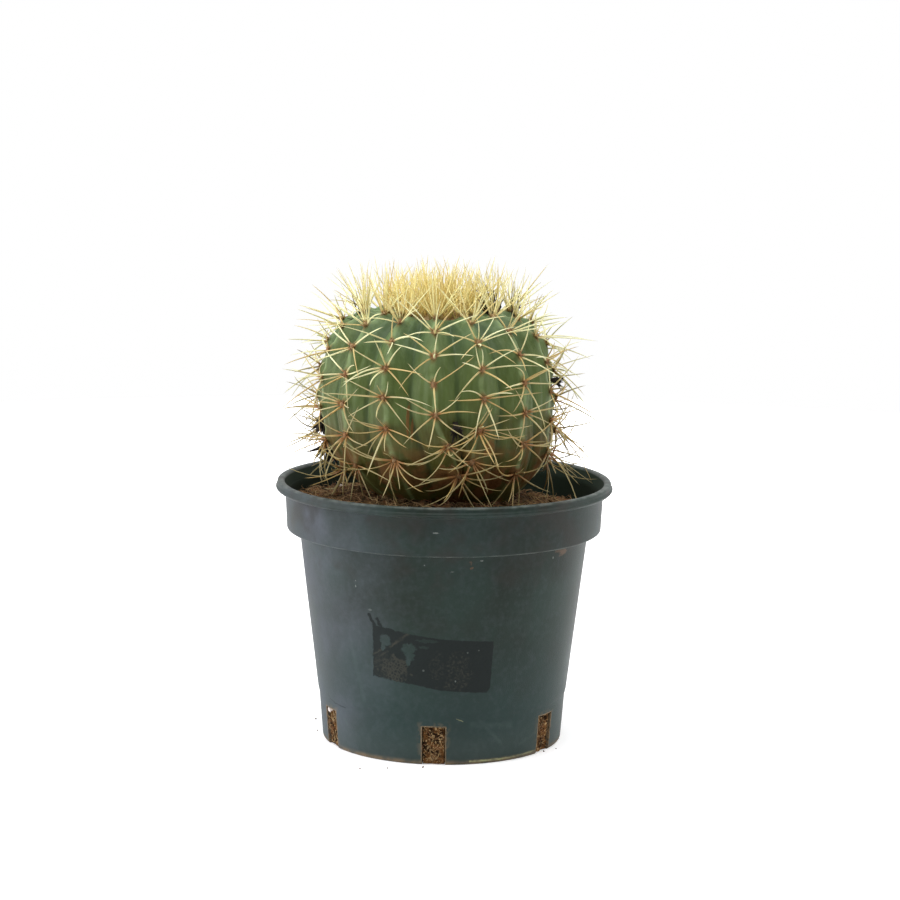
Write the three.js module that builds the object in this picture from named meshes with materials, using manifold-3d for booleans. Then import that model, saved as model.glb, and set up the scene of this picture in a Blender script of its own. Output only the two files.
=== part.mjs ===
// A round ribbed cactus growing in a plastic nursery pot. Millimetres, +Z up, with the front facing -Y.
// The origin is the centre of the pot's foot, on the surface that the pot stands on.
// The pieces are the pot, the potting soil that fills it, the cactus with its spines, the tuft of young
// golden spines on its crown, and the dried flowers that still hang on it.

import * as THREE from "three";
import { mergeVertices } from "three/addons/utils/BufferGeometryUtils.js";
import Module from "manifold-3d";

const wasm = await Module();
wasm.setup();

// Free space kept between pieces that touch on the real plant
const GAP = 0.35;

// Driving dimensions of the pot. Radii are those of its outside, and its wall is of one thickness.
const POT_HEIGHT = 134;
const RIM_RADIUS = 85;
const COLLAR_TOP = 127.3;
const COLLAR_TOP_RADIUS = 80;
const COLLAR_BOTTOM = 108;
const COLLAR_BOTTOM_RADIUS = 79;
const BODY_TOP_RADIUS = 72.6;
const LEDGE_HEIGHT = 25;
const LEDGE_RADIUS = 63.4;
const FOOT_RADIUS = 61;
const FOOT_RING_RADIUS = 53;
const WALL = 1.6;
const FLOOR_UNDERSIDE = 2.5;
const FLOOR_TOP = 4.5;
const POT_SIDES = 48;

// The soil's top is laid out in rings, the outermost against the collar
const SOIL_SIDES = 32;
const SOIL_RINGS = [COLLAR_BOTTOM_RADIUS - WALL - GAP - 0.2, 66, 54, 43, 30, 0];
const SOIL_LEVEL = 120.2;

// Drainage slots cut through the foot of the wall
const SLOT_COUNT = 6;
const SLOT_WIDTH = 11.5;
const SLOT_HEIGHT = 19.5;
const SLOT_INNER_RADIUS = 54.7;
const SLOT_TURN = THREE.MathUtils.degToRad(-3.5);

// Driving dimensions of the plant. Below the lean height its axis slants sideways, down to the soil.
const BODY_RADIUS = 59.3;
const BODY_CENTRE_X = -4.6;
const LEAN_HEIGHT = 170;
const LEAN = 0.1;
const RIBS = 15;
const RIB_DEPTH = 8;
const RIB_COLUMNS = 4;
const FRONT_RIB_TURN = THREE.MathUtils.degToRad(-1);

// Areoles are the small cushions on the ribs that the spines grow from. Their distances are counted from the
// crown along the ridge, and grow by a step that is wider where the plant is older.
const FIRST_AREOLE = 26;
const LAST_AREOLE = 128;
const AREOLE_STEP = 10.8;
const AREOLE_STEP_GROWTH = 0.42;
const AREOLE_RISE = 1.3;
const AREOLE_HALF_LENGTH = 6;

// Spines, with how far their roots are spread and sunk in the areole
const SPINE_LENGTH = 24.5;
const SPINE_RADIUS = 0.55;
const SPINE_CLEARANCE = 1.2;
const ROOT_SPREAD = 0.75;
const ROOT_DEPTH = 0.95;
const REACH_LIMIT = 84.5;
const REACH_LIMIT_IN_POT = 76;

// The tuft on the crown
const TUFT_RADIUS = 20;
const TUFT_SPINES = 90;
const TUFT_SPINE_LENGTH = 26.5;
const WOOL_TOP = 216.4;
const WOOL_SIDES = 24;

// Withered flowers at a size of 1: radius and height pairs from the foot to the mouth
const FLOWER_OUTLINE = [
  [0, 0],
  [1.3, 0.2],
  [1.0, 2.4],
  [2.2, 4.6],
  [3.0, 7.2],
  [1.9, 8.8],
  [0, 7.6],
];
const FLOWER_HEIGHT = 8.8;
const FLOWER_RADIUS = 3.2;
const FLOWER_SIDES = 7;
const FLOWER_SUNK = 0.4;

const UP = new THREE.Vector3(0, 0, 1);

// Repeatable numbers from 0 to 1, so that the plant is the same each time
function seededRandom(seed) {
  let state = seed;
  return () => {
    state = (state * 16807) % 2147483647;
    return state / 2147483647;
  };
}

function smoothRise(low, high, value) {
  return THREE.MathUtils.smoothstep(value, low, high);
}

// A solid of revolution about the Z axis, from radius and height pairs given from the bottom up
function turned(profile, sides) {
  const points = profile.map(([radius, height]) => new THREE.Vector2(radius, height));
  return new THREE.LatheGeometry(points, sides).rotateX(Math.PI / 2);
}

// Moves each vertex of a turned solid; place gets the vertex and its two shares, round and along the profile
function reshaped(geometry, place) {
  const position = geometry.getAttribute("position");
  const uv = geometry.getAttribute("uv");
  const point = new THREE.Vector3();
  for (let i = 0; i < position.count; i++) {
    point.fromBufferAttribute(position, i);
    place(point, uv.getX(i), uv.getY(i));
    position.setXYZ(i, point.x, point.y, point.z);
  }
  return geometry;
}

function solidOf(geometry) {
  const bare = geometry.clone();
  bare.deleteAttribute("normal");
  bare.deleteAttribute("uv");
  const merged = mergeVertices(bare, 1e-4);
  const vertProperties = merged.getAttribute("position").array;
  const triVerts = new Uint32Array(merged.index.array);
  return new wasm.Manifold(new wasm.Mesh({ numProp: 3, vertProperties, triVerts }));
}

function geometryOf(solid) {
  const { vertProperties, triVerts, numProp } = solid.getMesh();
  const count = vertProperties.length / numProp;
  const positions = new Float32Array(count * 3);
  for (let i = 0; i < count; i++) {
    positions.set(vertProperties.subarray(i * numProp, i * numProp + 3), i * 3);
  }
  const geometry = new THREE.BufferGeometry();
  geometry.setAttribute("position", new THREE.BufferAttribute(positions, 3));
  geometry.setIndex(new THREE.BufferAttribute(triVerts, 1));
  geometry.computeVertexNormals();
  return geometry;
}

// Joins solids in pairs, so that no single join grows large
function joined(solids) {
  let round = solids;
  while (round.length > 1) {
    const next = [];
    for (let i = 0; i < round.length; i += 2) {
      next.push(i + 1 < round.length ? round[i].add(round[i + 1]) : round[i]);
    }
    round = next;
  }
  return round[0];
}

function meshOf(name, geometry, color, roughness) {
  const mesh = new THREE.Mesh(geometry, new THREE.MeshStandardMaterial({ color, roughness, metalness: 0 }));
  mesh.name = name;
  return mesh;
}

// The place at an angle round the Z axis, counted from the front towards +X
function around(turn, radius, height) {
  return new THREE.Vector3(radius * Math.sin(turn), -radius * Math.cos(turn), height);
}

// The pot: a foot ring, a slightly inset lower band, a tapered wall, a wider collar and a rolled lip
const potOutside = [
  [FOOT_RING_RADIUS, 0],
  [FOOT_RADIUS - 1, 0],
  [FOOT_RADIUS, 1],
  [LEDGE_RADIUS - 0.6, LEDGE_HEIGHT - 0.5],
  [LEDGE_RADIUS, LEDGE_HEIGHT + 0.3],
  [BODY_TOP_RADIUS, COLLAR_BOTTOM - 0.7],
  [COLLAR_BOTTOM_RADIUS - 0.8, COLLAR_BOTTOM],
  [COLLAR_BOTTOM_RADIUS, COLLAR_BOTTOM + 0.8],
  [COLLAR_TOP_RADIUS, COLLAR_TOP],
  [RIM_RADIUS - 1, COLLAR_TOP + 1.4],
  [RIM_RADIUS, COLLAR_TOP + 3.4],
  [RIM_RADIUS - 0.8, POT_HEIGHT - 0.7],
  [RIM_RADIUS - 2.4, POT_HEIGHT],
];
const potInside = [
  [COLLAR_TOP_RADIUS + 1, POT_HEIGHT - 0.7],
  [COLLAR_TOP_RADIUS, COLLAR_TOP + 3],
  [COLLAR_TOP_RADIUS - WALL, COLLAR_TOP],
  [COLLAR_BOTTOM_RADIUS - WALL, COLLAR_BOTTOM + 2.6],
  [COLLAR_BOTTOM_RADIUS - WALL - 1, COLLAR_BOTTOM + 1.4],
  [BODY_TOP_RADIUS - WALL, COLLAR_BOTTOM + 0.4],
  [LEDGE_RADIUS - WALL, LEDGE_HEIGHT + 0.3],
  [FOOT_RADIUS - WALL + 0.4, FLOOR_TOP + 1],
  [FOOT_RADIUS - WALL - 0.8, FLOOR_TOP],
  [0, FLOOR_TOP],
];

function slotBox(width, innerRadius, outerRadius, bottom, top, turn) {
  return new THREE.BoxGeometry(width, outerRadius - innerRadius, top - bottom)
    .translate(0, -(innerRadius + outerRadius) / 2, (bottom + top) / 2)
    .rotateZ(turn);
}

function slotTurns() {
  return Array.from({ length: SLOT_COUNT }, (_, i) => SLOT_TURN + (i * 2 * Math.PI) / SLOT_COUNT);
}

function makePot() {
  const underside = [
    [0, FLOOR_UNDERSIDE],
    [FOOT_RING_RADIUS - 1, FLOOR_UNDERSIDE],
  ];
  const shell = solidOf(turned([...underside, ...potOutside, ...potInside], POT_SIDES));
  const cutters = slotTurns().map((turn) =>
    solidOf(slotBox(SLOT_WIDTH, SLOT_INNER_RADIUS, RIM_RADIUS, -1, SLOT_HEIGHT, turn)),
  );
  return shell.subtract(joined(cutters));
}

// The plant's outline at the ridge of a rib, from the bottom of its buried root up to the dip of its crown
const CREST = new THREE.SplineCurve(
  [
    [0, 103],
    [13, 105],
    [24, 112],
    [33, 123],
    [43, 132],
    [52, 142],
    [57.6, 154],
    [BODY_RADIUS, 168],
    [59.2, 181],
    [57.2, 194],
    [52.4, 206],
    [44, 214.8],
    [34, 218],
    [25, 216.6],
    [13, 213.2],
    [0, 212],
  ].map(([radius, height]) => new THREE.Vector2(radius, height)),
);
const CREST_LENGTH = CREST.getLength();

// Sideways shift of the plant's axis: the stem leans a little as it comes out of the soil
function axisX(height) {
  return BODY_CENTRE_X + LEAN * Math.max(0, LEAN_HEIGHT - height);
}

function areoleDistance(step) {
  return FIRST_AREOLE + AREOLE_STEP * step + AREOLE_STEP_GROWTH * step * step;
}

// Neighbouring ribs alternate by half a step, counted away from the front rib on both sides
function halfStep(rib) {
  const sideways = Math.abs(rib <= RIBS / 2 ? rib : rib - RIBS);
  return 0.5 * (sideways % 2);
}

function areoleRow(rib) {
  const distances = [];
  for (let step = halfStep(rib); areoleDistance(step) < LAST_AREOLE; step++) {
    distances.push(areoleDistance(step));
  }
  return distances;
}

// How deep the furrows are at a distance from the crown: none on the crown itself, and shallow at the root
function furrowDepth(distance) {
  const open = smoothRise(23, 42, distance);
  const swollen = 1 - 0.25 * smoothRise(70, 110, distance);
  const root = 1 - smoothRise(112, 142, distance);
  return RIB_DEPTH * open * swollen * root;
}

// A rib's section: 0 at the ridge, with rounded flanks that fall to 1 in a sharp furrow
function ribSection(across) {
  return 0.35 * across + 0.65 * (1 - Math.sqrt(1 - Math.min(1, across * across)));
}

// A point of the skin, pushed out by an offset, and the ridge's outward direction there
function skinAt(turn, share, offset = 0) {
  const ridge = CREST.getPointAt(share);
  const along = CREST.getTangentAt(share);
  const distance = (1 - share) * CREST_LENGTH;
  const ribs = ((turn - FRONT_RIB_TURN) / (2 * Math.PI)) * RIBS;
  const nearest = Math.round(ribs);
  const across = 2 * Math.abs(ribs - nearest);
  const row = areoleRow(THREE.MathUtils.euclideanModulo(nearest, RIBS));
  const apart = Math.min(...row.map((areole) => Math.abs(areole - distance)));
  const swell = Math.cos(Math.min(1, apart / AREOLE_HALF_LENGTH) * (Math.PI / 2));
  const bump = AREOLE_RISE * swell * Math.max(0, 1 - 3 * across);
  const outward = new THREE.Vector2(along.y, -along.x);
  const point = ridge.clone().addScaledVector(outward, bump - furrowDepth(distance) * ribSection(across));
  const place = around(turn, Math.max(0, point.x + offset * outward.x), point.y + offset * outward.y);
  place.x += axisX(point.y);
  return { place, outward: around(turn, outward.x, outward.y) };
}

// The rows of the skin, as shares of the ridge's length from the root up. Those on the ribs run through the
// areoles of all ribs, both the even and the staggered ones.
function skinRows() {
  const crown = [0, 13, 20];
  const ribbed = [];
  for (let step = 0; step < 8; step += 0.5) ribbed.push(areoleDistance(step));
  const root = [144, 158, 174, CREST_LENGTH];
  return [...crown, ...ribbed, ...root].map((distance) => 1 - distance / CREST_LENGTH).reverse();
}

// The skin as a closed solid, or with an offset the same skin a little larger, to cut what lies against it
function makeSkin(offset) {
  const rows = skinRows();
  const outline = rows.map((share) => [share > 0 && share < 1 ? BODY_RADIUS : 0, share]);
  return solidOf(
    reshaped(turned(outline, RIBS * RIB_COLUMNS), (point, round, along) => {
      const share = rows[Math.round(along * (rows.length - 1))];
      const atPole = share === 0 || share === 1;
      const turn = atPole ? 0 : round * 2 * Math.PI + FRONT_RIB_TURN;
      point.copy(skinAt(turn, share, offset).place);
      if (atPole) point.y = 0;
    }),
  );
}

// The soil's top: heaped against the plant and at the front, lower at the back and on the right
function soilHeight(x, y) {
  const fromPlant = Math.hypot(x - axisX(SOIL_LEVEL), y);
  const heap = 5 * Math.exp(-(((fromPlant - 30) / 26) ** 2));
  const clods = 0.7 * Math.sin(x * 0.31 + 1.7) * Math.cos(y * 0.27) + 0.5 * Math.sin(x * 0.83 - y * 0.71);
  return SOIL_LEVEL - 0.042 * x - 0.055 * y + heap + clods;
}

function makeSoil() {
  const profile = [
    [0, FLOOR_TOP + GAP],
    [FOOT_RADIUS - WALL - GAP - 0.4, FLOOR_TOP + GAP],
    [BODY_TOP_RADIUS - WALL - GAP - 0.6, COLLAR_BOTTOM],
    [COLLAR_BOTTOM_RADIUS - WALL - GAP - 0.2, COLLAR_BOTTOM + 3.6],
    ...SOIL_RINGS.map((radius) => [radius, POT_HEIGHT]),
  ];
  const block = solidOf(
    reshaped(turned(profile, SOIL_SIDES), (point) => {
      if (point.z > POT_HEIGHT - 0.01) point.z = soilHeight(point.x, point.y);
    }),
  );
  const plugs = slotTurns().map((turn) =>
    solidOf(
      slotBox(SLOT_WIDTH - 2 * GAP, SLOT_INNER_RADIUS + GAP, FOOT_RADIUS - 0.8, 0.8, SLOT_HEIGHT - GAP, turn),
    ),
  );
  return joined([block, ...plugs]).subtract(largerSkin);
}

// One spine: a slim three-sided needle from the root, at the line's start, to the tip
function needle(line) {
  const direction = line.delta(new THREE.Vector3()).normalize();
  const turnTo = new THREE.Quaternion().setFromUnitVectors(new THREE.Vector3(0, 1, 0), direction);
  const middle = line.getCenter(new THREE.Vector3());
  const cone = new THREE.ConeGeometry(SPINE_RADIUS, line.distance(), 3, 1).applyQuaternion(turnTo);
  return solidOf(cone.translate(middle.x, middle.y, middle.z));
}

// Shortest distance between two straight pieces: the nearest place on the first line, then on the second,
// and then on the first once more, each kept between the ends
function distanceBetween(first, second) {
  const a = first.delta(new THREE.Vector3());
  const b = second.delta(new THREE.Vector3());
  const between = first.start.clone().sub(second.start);
  const aa = a.dot(a);
  const bb = b.dot(b);
  const ab = a.dot(b);
  const spread = Math.max(aa * bb - ab * ab, 1e-9);
  const guess = THREE.MathUtils.clamp((ab * b.dot(between) - bb * a.dot(between)) / spread, 0, 1);
  const onSecond = THREE.MathUtils.clamp((ab * guess + b.dot(between)) / bb, 0, 1);
  const onFirst = THREE.MathUtils.clamp((ab * onSecond - a.dot(between)) / aa, 0, 1);
  return first.at(onFirst, new THREE.Vector3()).distanceTo(second.at(onSecond, new THREE.Vector3()));
}

// Each dried flower: the rib or furrow that it sits on, its distance from the crown, its size and its rise
// above the outward direction, below 0 where it hangs down
const DRIED_FLOWERS = [
  { rib: 0.42, distance: 95, size: 0.95, rise: -0.5 },
  { rib: 3.75, distance: 80, size: 0.7, rise: -0.3 },
  { rib: -3.5, distance: 96, size: 1.15, rise: -1 },
  { rib: -3.5, distance: 111, size: 1.2, rise: -0.8 },
  { rib: 4.3, distance: 32, size: 0.7, rise: 0 },
  { rib: 4.25, distance: 41, size: 0.75, rise: 0.3 },
  { rib: 4.5, distance: 52, size: 0.9, rise: -0.2 },
  { rib: -3.5, distance: 42, size: 0.7, rise: 0 },
];

function flowerSeat({ rib, distance, size, rise }) {
  const turn = FRONT_RIB_TURN + (rib * 2 * Math.PI) / RIBS;
  const { place, outward } = skinAt(turn, 1 - distance / CREST_LENGTH);
  const direction = outward.clone().applyAxisAngle(around(turn, 1, 0).cross(UP).normalize(), rise);
  const start = place.clone().addScaledVector(outward, -FLOWER_SUNK);
  const end = start.clone().addScaledVector(direction, FLOWER_HEIGHT * size);
  return { start, direction, line: new THREE.Line3(start, end), radius: FLOWER_RADIUS * size };
}

// A withered flower: a short tube that widens to a crumpled mouth, with its foot shaped to the skin under it
function makeFlower(spec, index) {
  const seat = flowerSeat(spec);
  const turnTo = new THREE.Quaternion().setFromUnitVectors(UP, seat.direction);
  const whole = reshaped(turned(FLOWER_OUTLINE, FLOWER_SIDES), (point, round, share) => {
    const crumple = 1 + 0.28 * Math.sin(round * 6 * Math.PI + index) * share;
    const drop = share > 0.5 && share < 1 ? 0.9 * Math.sin(round * 8 * Math.PI + index * 2) : 0;
    point.x *= crumple;
    point.y *= crumple;
    point.z += drop;
    point.multiplyScalar(spec.size).applyQuaternion(turnTo).add(seat.start);
  });
  return solidOf(whole).subtract(largerSkin);
}

// Spines of one areole: the angle round it, with 90 degrees towards the crown, and the rise off the skin.
// Young areoles near the crown hold their spines steeper.
const SPINE_FAN = [
  { angle: 10, rise: 25, length: 1.05 },
  { angle: 90, rise: 42, length: 1 },
  { angle: 170, rise: 25, length: 1.05 },
  { angle: 230, rise: 28, length: 0.95 },
  { angle: 310, rise: 28, length: 0.95 },
  { angle: 270, rise: 62, length: 1.1 },
];
const YOUNG_RISE = 32;
const RISE_STEP = 6;
const STEEPEST_RISE = 82;

// A spine keeps out of the soil, inside the pot's wall below its rim, and inside the rim's reach above it
function isInReach({ end }) {
  const radius = Math.hypot(end.x, end.y);
  const limit = end.z < POT_HEIGHT + 2 ? REACH_LIMIT_IN_POT : REACH_LIMIT;
  return radius < limit && end.z > soilHeight(end.x, end.y) + 1.5;
}

// The frame of an areole: where its spines are rooted, and its outward, sideways and crownward directions
function areoleAt(rib, distance) {
  const turn = FRONT_RIB_TURN + (rib * 2 * Math.PI) / RIBS;
  const { place, outward } = skinAt(turn, 1 - distance / CREST_LENGTH);
  const sideways = new THREE.Vector3(Math.cos(turn), Math.sin(turn), 0);
  const crownward = new THREE.Vector3().crossVectors(outward, sideways);
  const youth = 1 - smoothRise(28, 62, distance);
  return { place, outward, sideways, crownward, youth };
}

// A spine's root is sunk under the skin, a little towards the side that the spine leans to
function spineFrom({ place, outward, sideways, crownward }, angle, rise, length) {
  const turn = THREE.MathUtils.degToRad(angle);
  const steepness = THREE.MathUtils.degToRad(rise);
  const flat = sideways.clone().multiplyScalar(Math.cos(turn)).addScaledVector(crownward, Math.sin(turn));
  const direction = outward.clone().multiplyScalar(Math.sin(steepness));
  direction.addScaledVector(flat, Math.cos(steepness));
  const root = place.clone().addScaledVector(flat, ROOT_SPREAD).addScaledVector(outward, -ROOT_DEPTH);
  return new THREE.Line3(root, root.clone().addScaledVector(direction, length));
}

// Every spine of the ribs. Each is raised off the skin in steps until it is clear of the others, of the tuft
// and of the dried flowers, or it is left out.
function spineLines(tuftLines, flowerSeats) {
  const random = seededRandom(7);
  const lines = [...tuftLines];
  for (let rib = 0; rib < RIBS; rib++) {
    for (const distance of areoleRow(rib)) {
      const areole = areoleAt(rib, distance);
      const others = lines.slice();
      const isFree = (line) =>
        isInReach(line) &&
        others.every((other) => distanceBetween(line, other) > SPINE_CLEARANCE) &&
        flowerSeats.every((seat) => distanceBetween(line, seat.line) > seat.radius + SPINE_CLEARANCE);
      for (const fan of SPINE_FAN) {
        const angle = fan.angle + 16 * (random() - 0.5);
        const length = SPINE_LENGTH * fan.length * (0.88 + 0.2 * random());
        const lowest = fan.rise + 10 * (random() - 0.5) + YOUNG_RISE * areole.youth;
        const tries = [];
        for (let rise = lowest; rise < STEEPEST_RISE; rise += RISE_STEP) {
          tries.push(spineFrom(areole, angle, rise, length));
        }
        const line = tries.find(isFree);
        if (line) lines.push(line);
      }
    }
  }
  return lines.slice(tuftLines.length);
}

// The tuft's spines stand on the crown's wool like the seeds of a sunflower, and fan out from the middle
function tuftSpineLines() {
  const random = seededRandom(23);
  const goldenAngle = Math.PI * (3 - Math.sqrt(5));
  return Array.from({ length: TUFT_SPINES }, (_, i) => {
    const share = Math.sqrt((i + 0.5) / TUFT_SPINES);
    const turn = i * goldenAngle;
    const root = around(turn, share * (TUFT_RADIUS - 1.6), WOOL_TOP - 1.3);
    root.x += BODY_CENTRE_X;
    const lean = 0.42 * share + 0.16 * (random() - 0.5);
    const tilt = turn + 0.5 * (random() - 0.5);
    const direction = around(tilt, Math.sin(lean), Math.cos(lean));
    const length = TUFT_SPINE_LENGTH * (0.8 + 0.3 * random()) * (1 - 0.12 * share) + 2;
    return new THREE.Line3(root, root.clone().addScaledVector(direction, length));
  });
}

// The tuft: a pad of wool that lies in the dip of the crown, and the young spines that stand on it
function makeTuft(lines) {
  const pad = [
    [0, WOOL_TOP - 6],
    [TUFT_RADIUS, WOOL_TOP - 6],
    [TUFT_RADIUS + 0.4, WOOL_TOP - 0.6],
    [TUFT_RADIUS - 3, WOOL_TOP + 0.5],
    [0, WOOL_TOP],
  ];
  const wool = solidOf(turned(pad, WOOL_SIDES).translate(BODY_CENTRE_X, 0, 0)).subtract(largerSkin);
  return joined([wool, ...lines.map(needle)]);
}

function makeCactus(lines) {
  return joined([makeSkin(0), ...lines.map(needle)]);
}

const largerSkin = makeSkin(GAP);
const tuftLines = tuftSpineLines();
const flowerSeats = DRIED_FLOWERS.map(flowerSeat);
const plant = new THREE.Group();
plant.add(meshOf("pot", geometryOf(makePot()), 0x34463f, 0.55));
plant.add(meshOf("soil", geometryOf(makeSoil()), 0x3b2618, 1));
plant.add(meshOf("cactus", geometryOf(makeCactus(spineLines(tuftLines, flowerSeats))), 0x57794a, 0.6));
plant.add(meshOf("crown_tuft", geometryOf(makeTuft(tuftLines)), 0xe3c765, 0.6));
DRIED_FLOWERS.forEach((spec, index) => {
  plant.add(meshOf(`dried_flower_${index + 1}`, geometryOf(makeFlower(spec, index)), 0x1d1713, 0.95));
});

export default plant;
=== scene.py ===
# %% [markdown]
# # A round cactus in a nursery pot
# The object is a ball-shaped, ribbed cactus about 119 mm across, with straw-coloured spines and a golden tuft
# on its crown. It grows in peat in a dark green plastic pot, 170 mm across the rim.
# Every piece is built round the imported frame, so each one stands where its plain solid stands. Lengths are
# written in millimetres, and turned into metres only where a mesh is made.

# %% The frame
import math

import bpy
import numpy as np
from mathutils import Matrix, Vector, noise


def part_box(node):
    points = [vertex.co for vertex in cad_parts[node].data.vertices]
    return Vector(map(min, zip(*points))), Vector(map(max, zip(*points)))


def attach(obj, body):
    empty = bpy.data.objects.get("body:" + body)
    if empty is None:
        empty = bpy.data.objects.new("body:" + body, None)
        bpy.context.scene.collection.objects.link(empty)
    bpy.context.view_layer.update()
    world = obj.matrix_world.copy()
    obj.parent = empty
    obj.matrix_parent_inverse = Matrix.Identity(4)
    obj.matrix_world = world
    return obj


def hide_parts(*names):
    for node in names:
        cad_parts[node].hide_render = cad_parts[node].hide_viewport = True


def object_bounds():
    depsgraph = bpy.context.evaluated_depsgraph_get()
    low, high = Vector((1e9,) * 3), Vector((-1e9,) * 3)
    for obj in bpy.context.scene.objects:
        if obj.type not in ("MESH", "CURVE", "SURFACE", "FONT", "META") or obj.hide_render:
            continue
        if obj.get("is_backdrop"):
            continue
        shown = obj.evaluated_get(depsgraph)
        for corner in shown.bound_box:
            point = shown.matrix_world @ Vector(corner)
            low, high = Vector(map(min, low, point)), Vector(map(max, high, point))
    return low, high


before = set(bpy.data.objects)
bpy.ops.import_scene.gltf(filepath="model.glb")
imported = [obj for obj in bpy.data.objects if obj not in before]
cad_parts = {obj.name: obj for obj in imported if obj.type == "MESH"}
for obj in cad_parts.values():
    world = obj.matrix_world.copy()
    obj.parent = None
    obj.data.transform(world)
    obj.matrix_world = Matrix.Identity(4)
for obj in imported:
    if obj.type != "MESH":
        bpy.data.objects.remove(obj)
solid_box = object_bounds()

MM = 0.001
_, pot_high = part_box("pot")
RIM_RADIUS = pot_high.x / MM
POT_HEIGHT = pot_high.z / MM
# How far the soil stands clear of the plastic
GAP = 0.35
print(f"pot: rim radius {RIM_RADIUS:.1f} mm, height {POT_HEIGHT:.1f} mm")

# %% [markdown]
# ## The camera
# The photograph was taken with a long lens from a little above the rim. A view like that is set by four
# numbers: how far away the camera stands, how high, how much it looks down, and how long its lens is.
# They were found from the pot itself, whose rim and foot are circles of known size. The photograph is also
# rolled by less than a degree.

# %% The camera
CAMERA_PLACE = Vector((0.00265, -1.332, 0.3607))
CAMERA_TILT = 0.1586
CAMERA_ROLL = 0.0119
CAMERA_LENS = 106.46

scene = bpy.context.scene
camera = bpy.data.objects.new("camera", bpy.data.cameras.new("camera"))
camera.data.lens = CAMERA_LENS
camera.data.sensor_width = 36
camera.matrix_world = (
    Matrix.Translation(CAMERA_PLACE)
    @ Matrix.Rotation(math.pi / 2 - CAMERA_TILT, 4, "X")
    @ Matrix.Rotation(CAMERA_ROLL, 4, "Z")
)
scene.collection.objects.link(camera)
scene.camera = camera
scene.view_settings.view_transform = "Standard"
print(f"camera {CAMERA_PLACE.length:.2f} m away, lens {CAMERA_LENS:.0f} mm")

# %% [markdown]
# ## A few tools for meshes
# Almost everything on a plant repeats: spines, hairs, crumbs, rootlets. Placing thousands of small objects
# would be slow, so numpy works out all their points at once and each kind becomes one mesh.
# Two forms are enough. A closed form is a stack of rings that close round, with a point at each end, and a
# tube is a stack of rings that follows a path and ends in a tip.

# %% Directions and circles
def unit(vectors):
    """The same directions with a length of 1."""
    return vectors / np.maximum(np.linalg.norm(vectors, axis=-1, keepdims=True), 1e-9)


def full_turn(count):
    """Angles of points spaced evenly round a circle."""
    return 2 * np.pi * np.arange(count) / count


print("four points round a circle:", full_turn(4).round(2).tolist())


# %% Closed forms
def ringed(rings, start, end):
    """Points and faces of a closed form: rings of points, and the single points that close both ends."""
    rows, sides, _ = rings.shape
    points = np.concatenate([[start], rings.reshape(-1, 3), [end]])
    here = np.arange(sides)
    there = np.roll(here, -1)
    row = 1 + sides * np.arange(rows - 1)[:, None]
    quads = np.stack([row + here, row + there, row + sides + there, row + sides + here], axis=-1)
    first = np.stack([np.zeros(sides, int), 1 + there, 1 + here], axis=-1)
    last_row = 1 + sides * (rows - 1)
    last = np.stack([np.full(sides, len(points) - 1), last_row + here, last_row + there], axis=-1)
    return points, quads.reshape(-1, 4).tolist() + first.tolist() + last.tolist()


def copied(points, faces, count):
    """Faces of many forms that have the same layout, one after the other."""
    quads = np.array([face for face in faces if len(face) == 4])
    ends = np.array([face for face in faces if len(face) == 3])
    step = points * np.arange(count)[:, None, None]
    return (quads + step).reshape(-1, 4).tolist() + (ends + step).reshape(-1, 3).tolist()


# %% Tubes and globes
def tubes(paths, radii, sides):
    """Tapered tubes along paths of points: their points, faces, and each point's share along its tube."""
    paths = np.asarray(paths, float)
    radii = np.asarray(radii, float)
    forward = unit(np.gradient(paths, axis=1))
    aside = unit(np.cross(np.array([0.31, 0.17, 0.93]), forward))
    upward = np.cross(forward, aside)
    turn = full_turn(sides)
    spread = np.cos(turn)[:, None] * aside[:, :-1, None] + np.sin(turn)[:, None] * upward[:, :-1, None]
    rings = paths[:, :-1, None] + radii[:, :-1, None, None] * spread
    count, steps = paths.shape[:2]
    points = np.concatenate([paths[:, :1], rings.reshape(count, -1, 3), paths[:, -1:]], axis=1)
    _, faces = ringed(rings[0], paths[0, 0], paths[0, -1])
    share = np.concatenate([[0], np.repeat(np.arange(steps - 1) / (steps - 1), sides), [1]])
    return points.reshape(-1, 3), copied(points.shape[1], faces, count), np.tile(share, count)


def globe(first, last, rows, sides):
    """Rings on a globe of radius 1 between two polar angles: how far each point is aside, away and up."""
    polar = np.linspace(first, last, rows)[::-1]
    turn = full_turn(sides)
    out = np.sin(polar)[:, None]
    return out * np.cos(turn), out * np.sin(turn), np.cos(polar)[:, None] + 0 * turn


print("rings of a globe:", np.stack(globe(0.3, 2.8, 4, 8), axis=-1).shape)

# %% [markdown]
# Small forms of one kind are gathered in a batch. Each point can carry values, such as how far along its
# spine it lies, and the material reads them later by name.

# %% Batches of small forms
class Batch:
    """Gathers many closed forms, with values for their points, into one mesh."""

    def __init__(self):
        self.points = []
        self.faces = []
        self.values = {}
        self.count = 0

    def add(self, points, faces, **values):
        self.points.append(points)
        self.faces.extend([[corner + self.count for corner in face] for face in faces])
        for name, value in values.items():
            self.values.setdefault(name, []).append(np.broadcast_to(value, len(points)))
        self.count += len(points)

    def piece(self, name):
        values = {key: np.concatenate(parts) for key, parts in self.values.items()}
        return make_piece(name, np.concatenate(self.points), self.faces, **values)


# %% Pieces
def make_piece(name, points, faces, **values):
    """An object from points in millimetres, smooth-shaded, with its values as mesh attributes."""
    mesh = bpy.data.meshes.new(name)
    mesh.from_pydata((points * MM).tolist(), [], faces)
    for key, value in values.items():
        attribute = mesh.attributes.new(key, "FLOAT", "POINT")
        attribute.data.foreach_set("value", np.asarray(value, np.float32))
    mesh.shade_smooth()
    piece = bpy.data.objects.new(name, mesh)
    scene.collection.objects.link(piece)
    return piece


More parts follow.
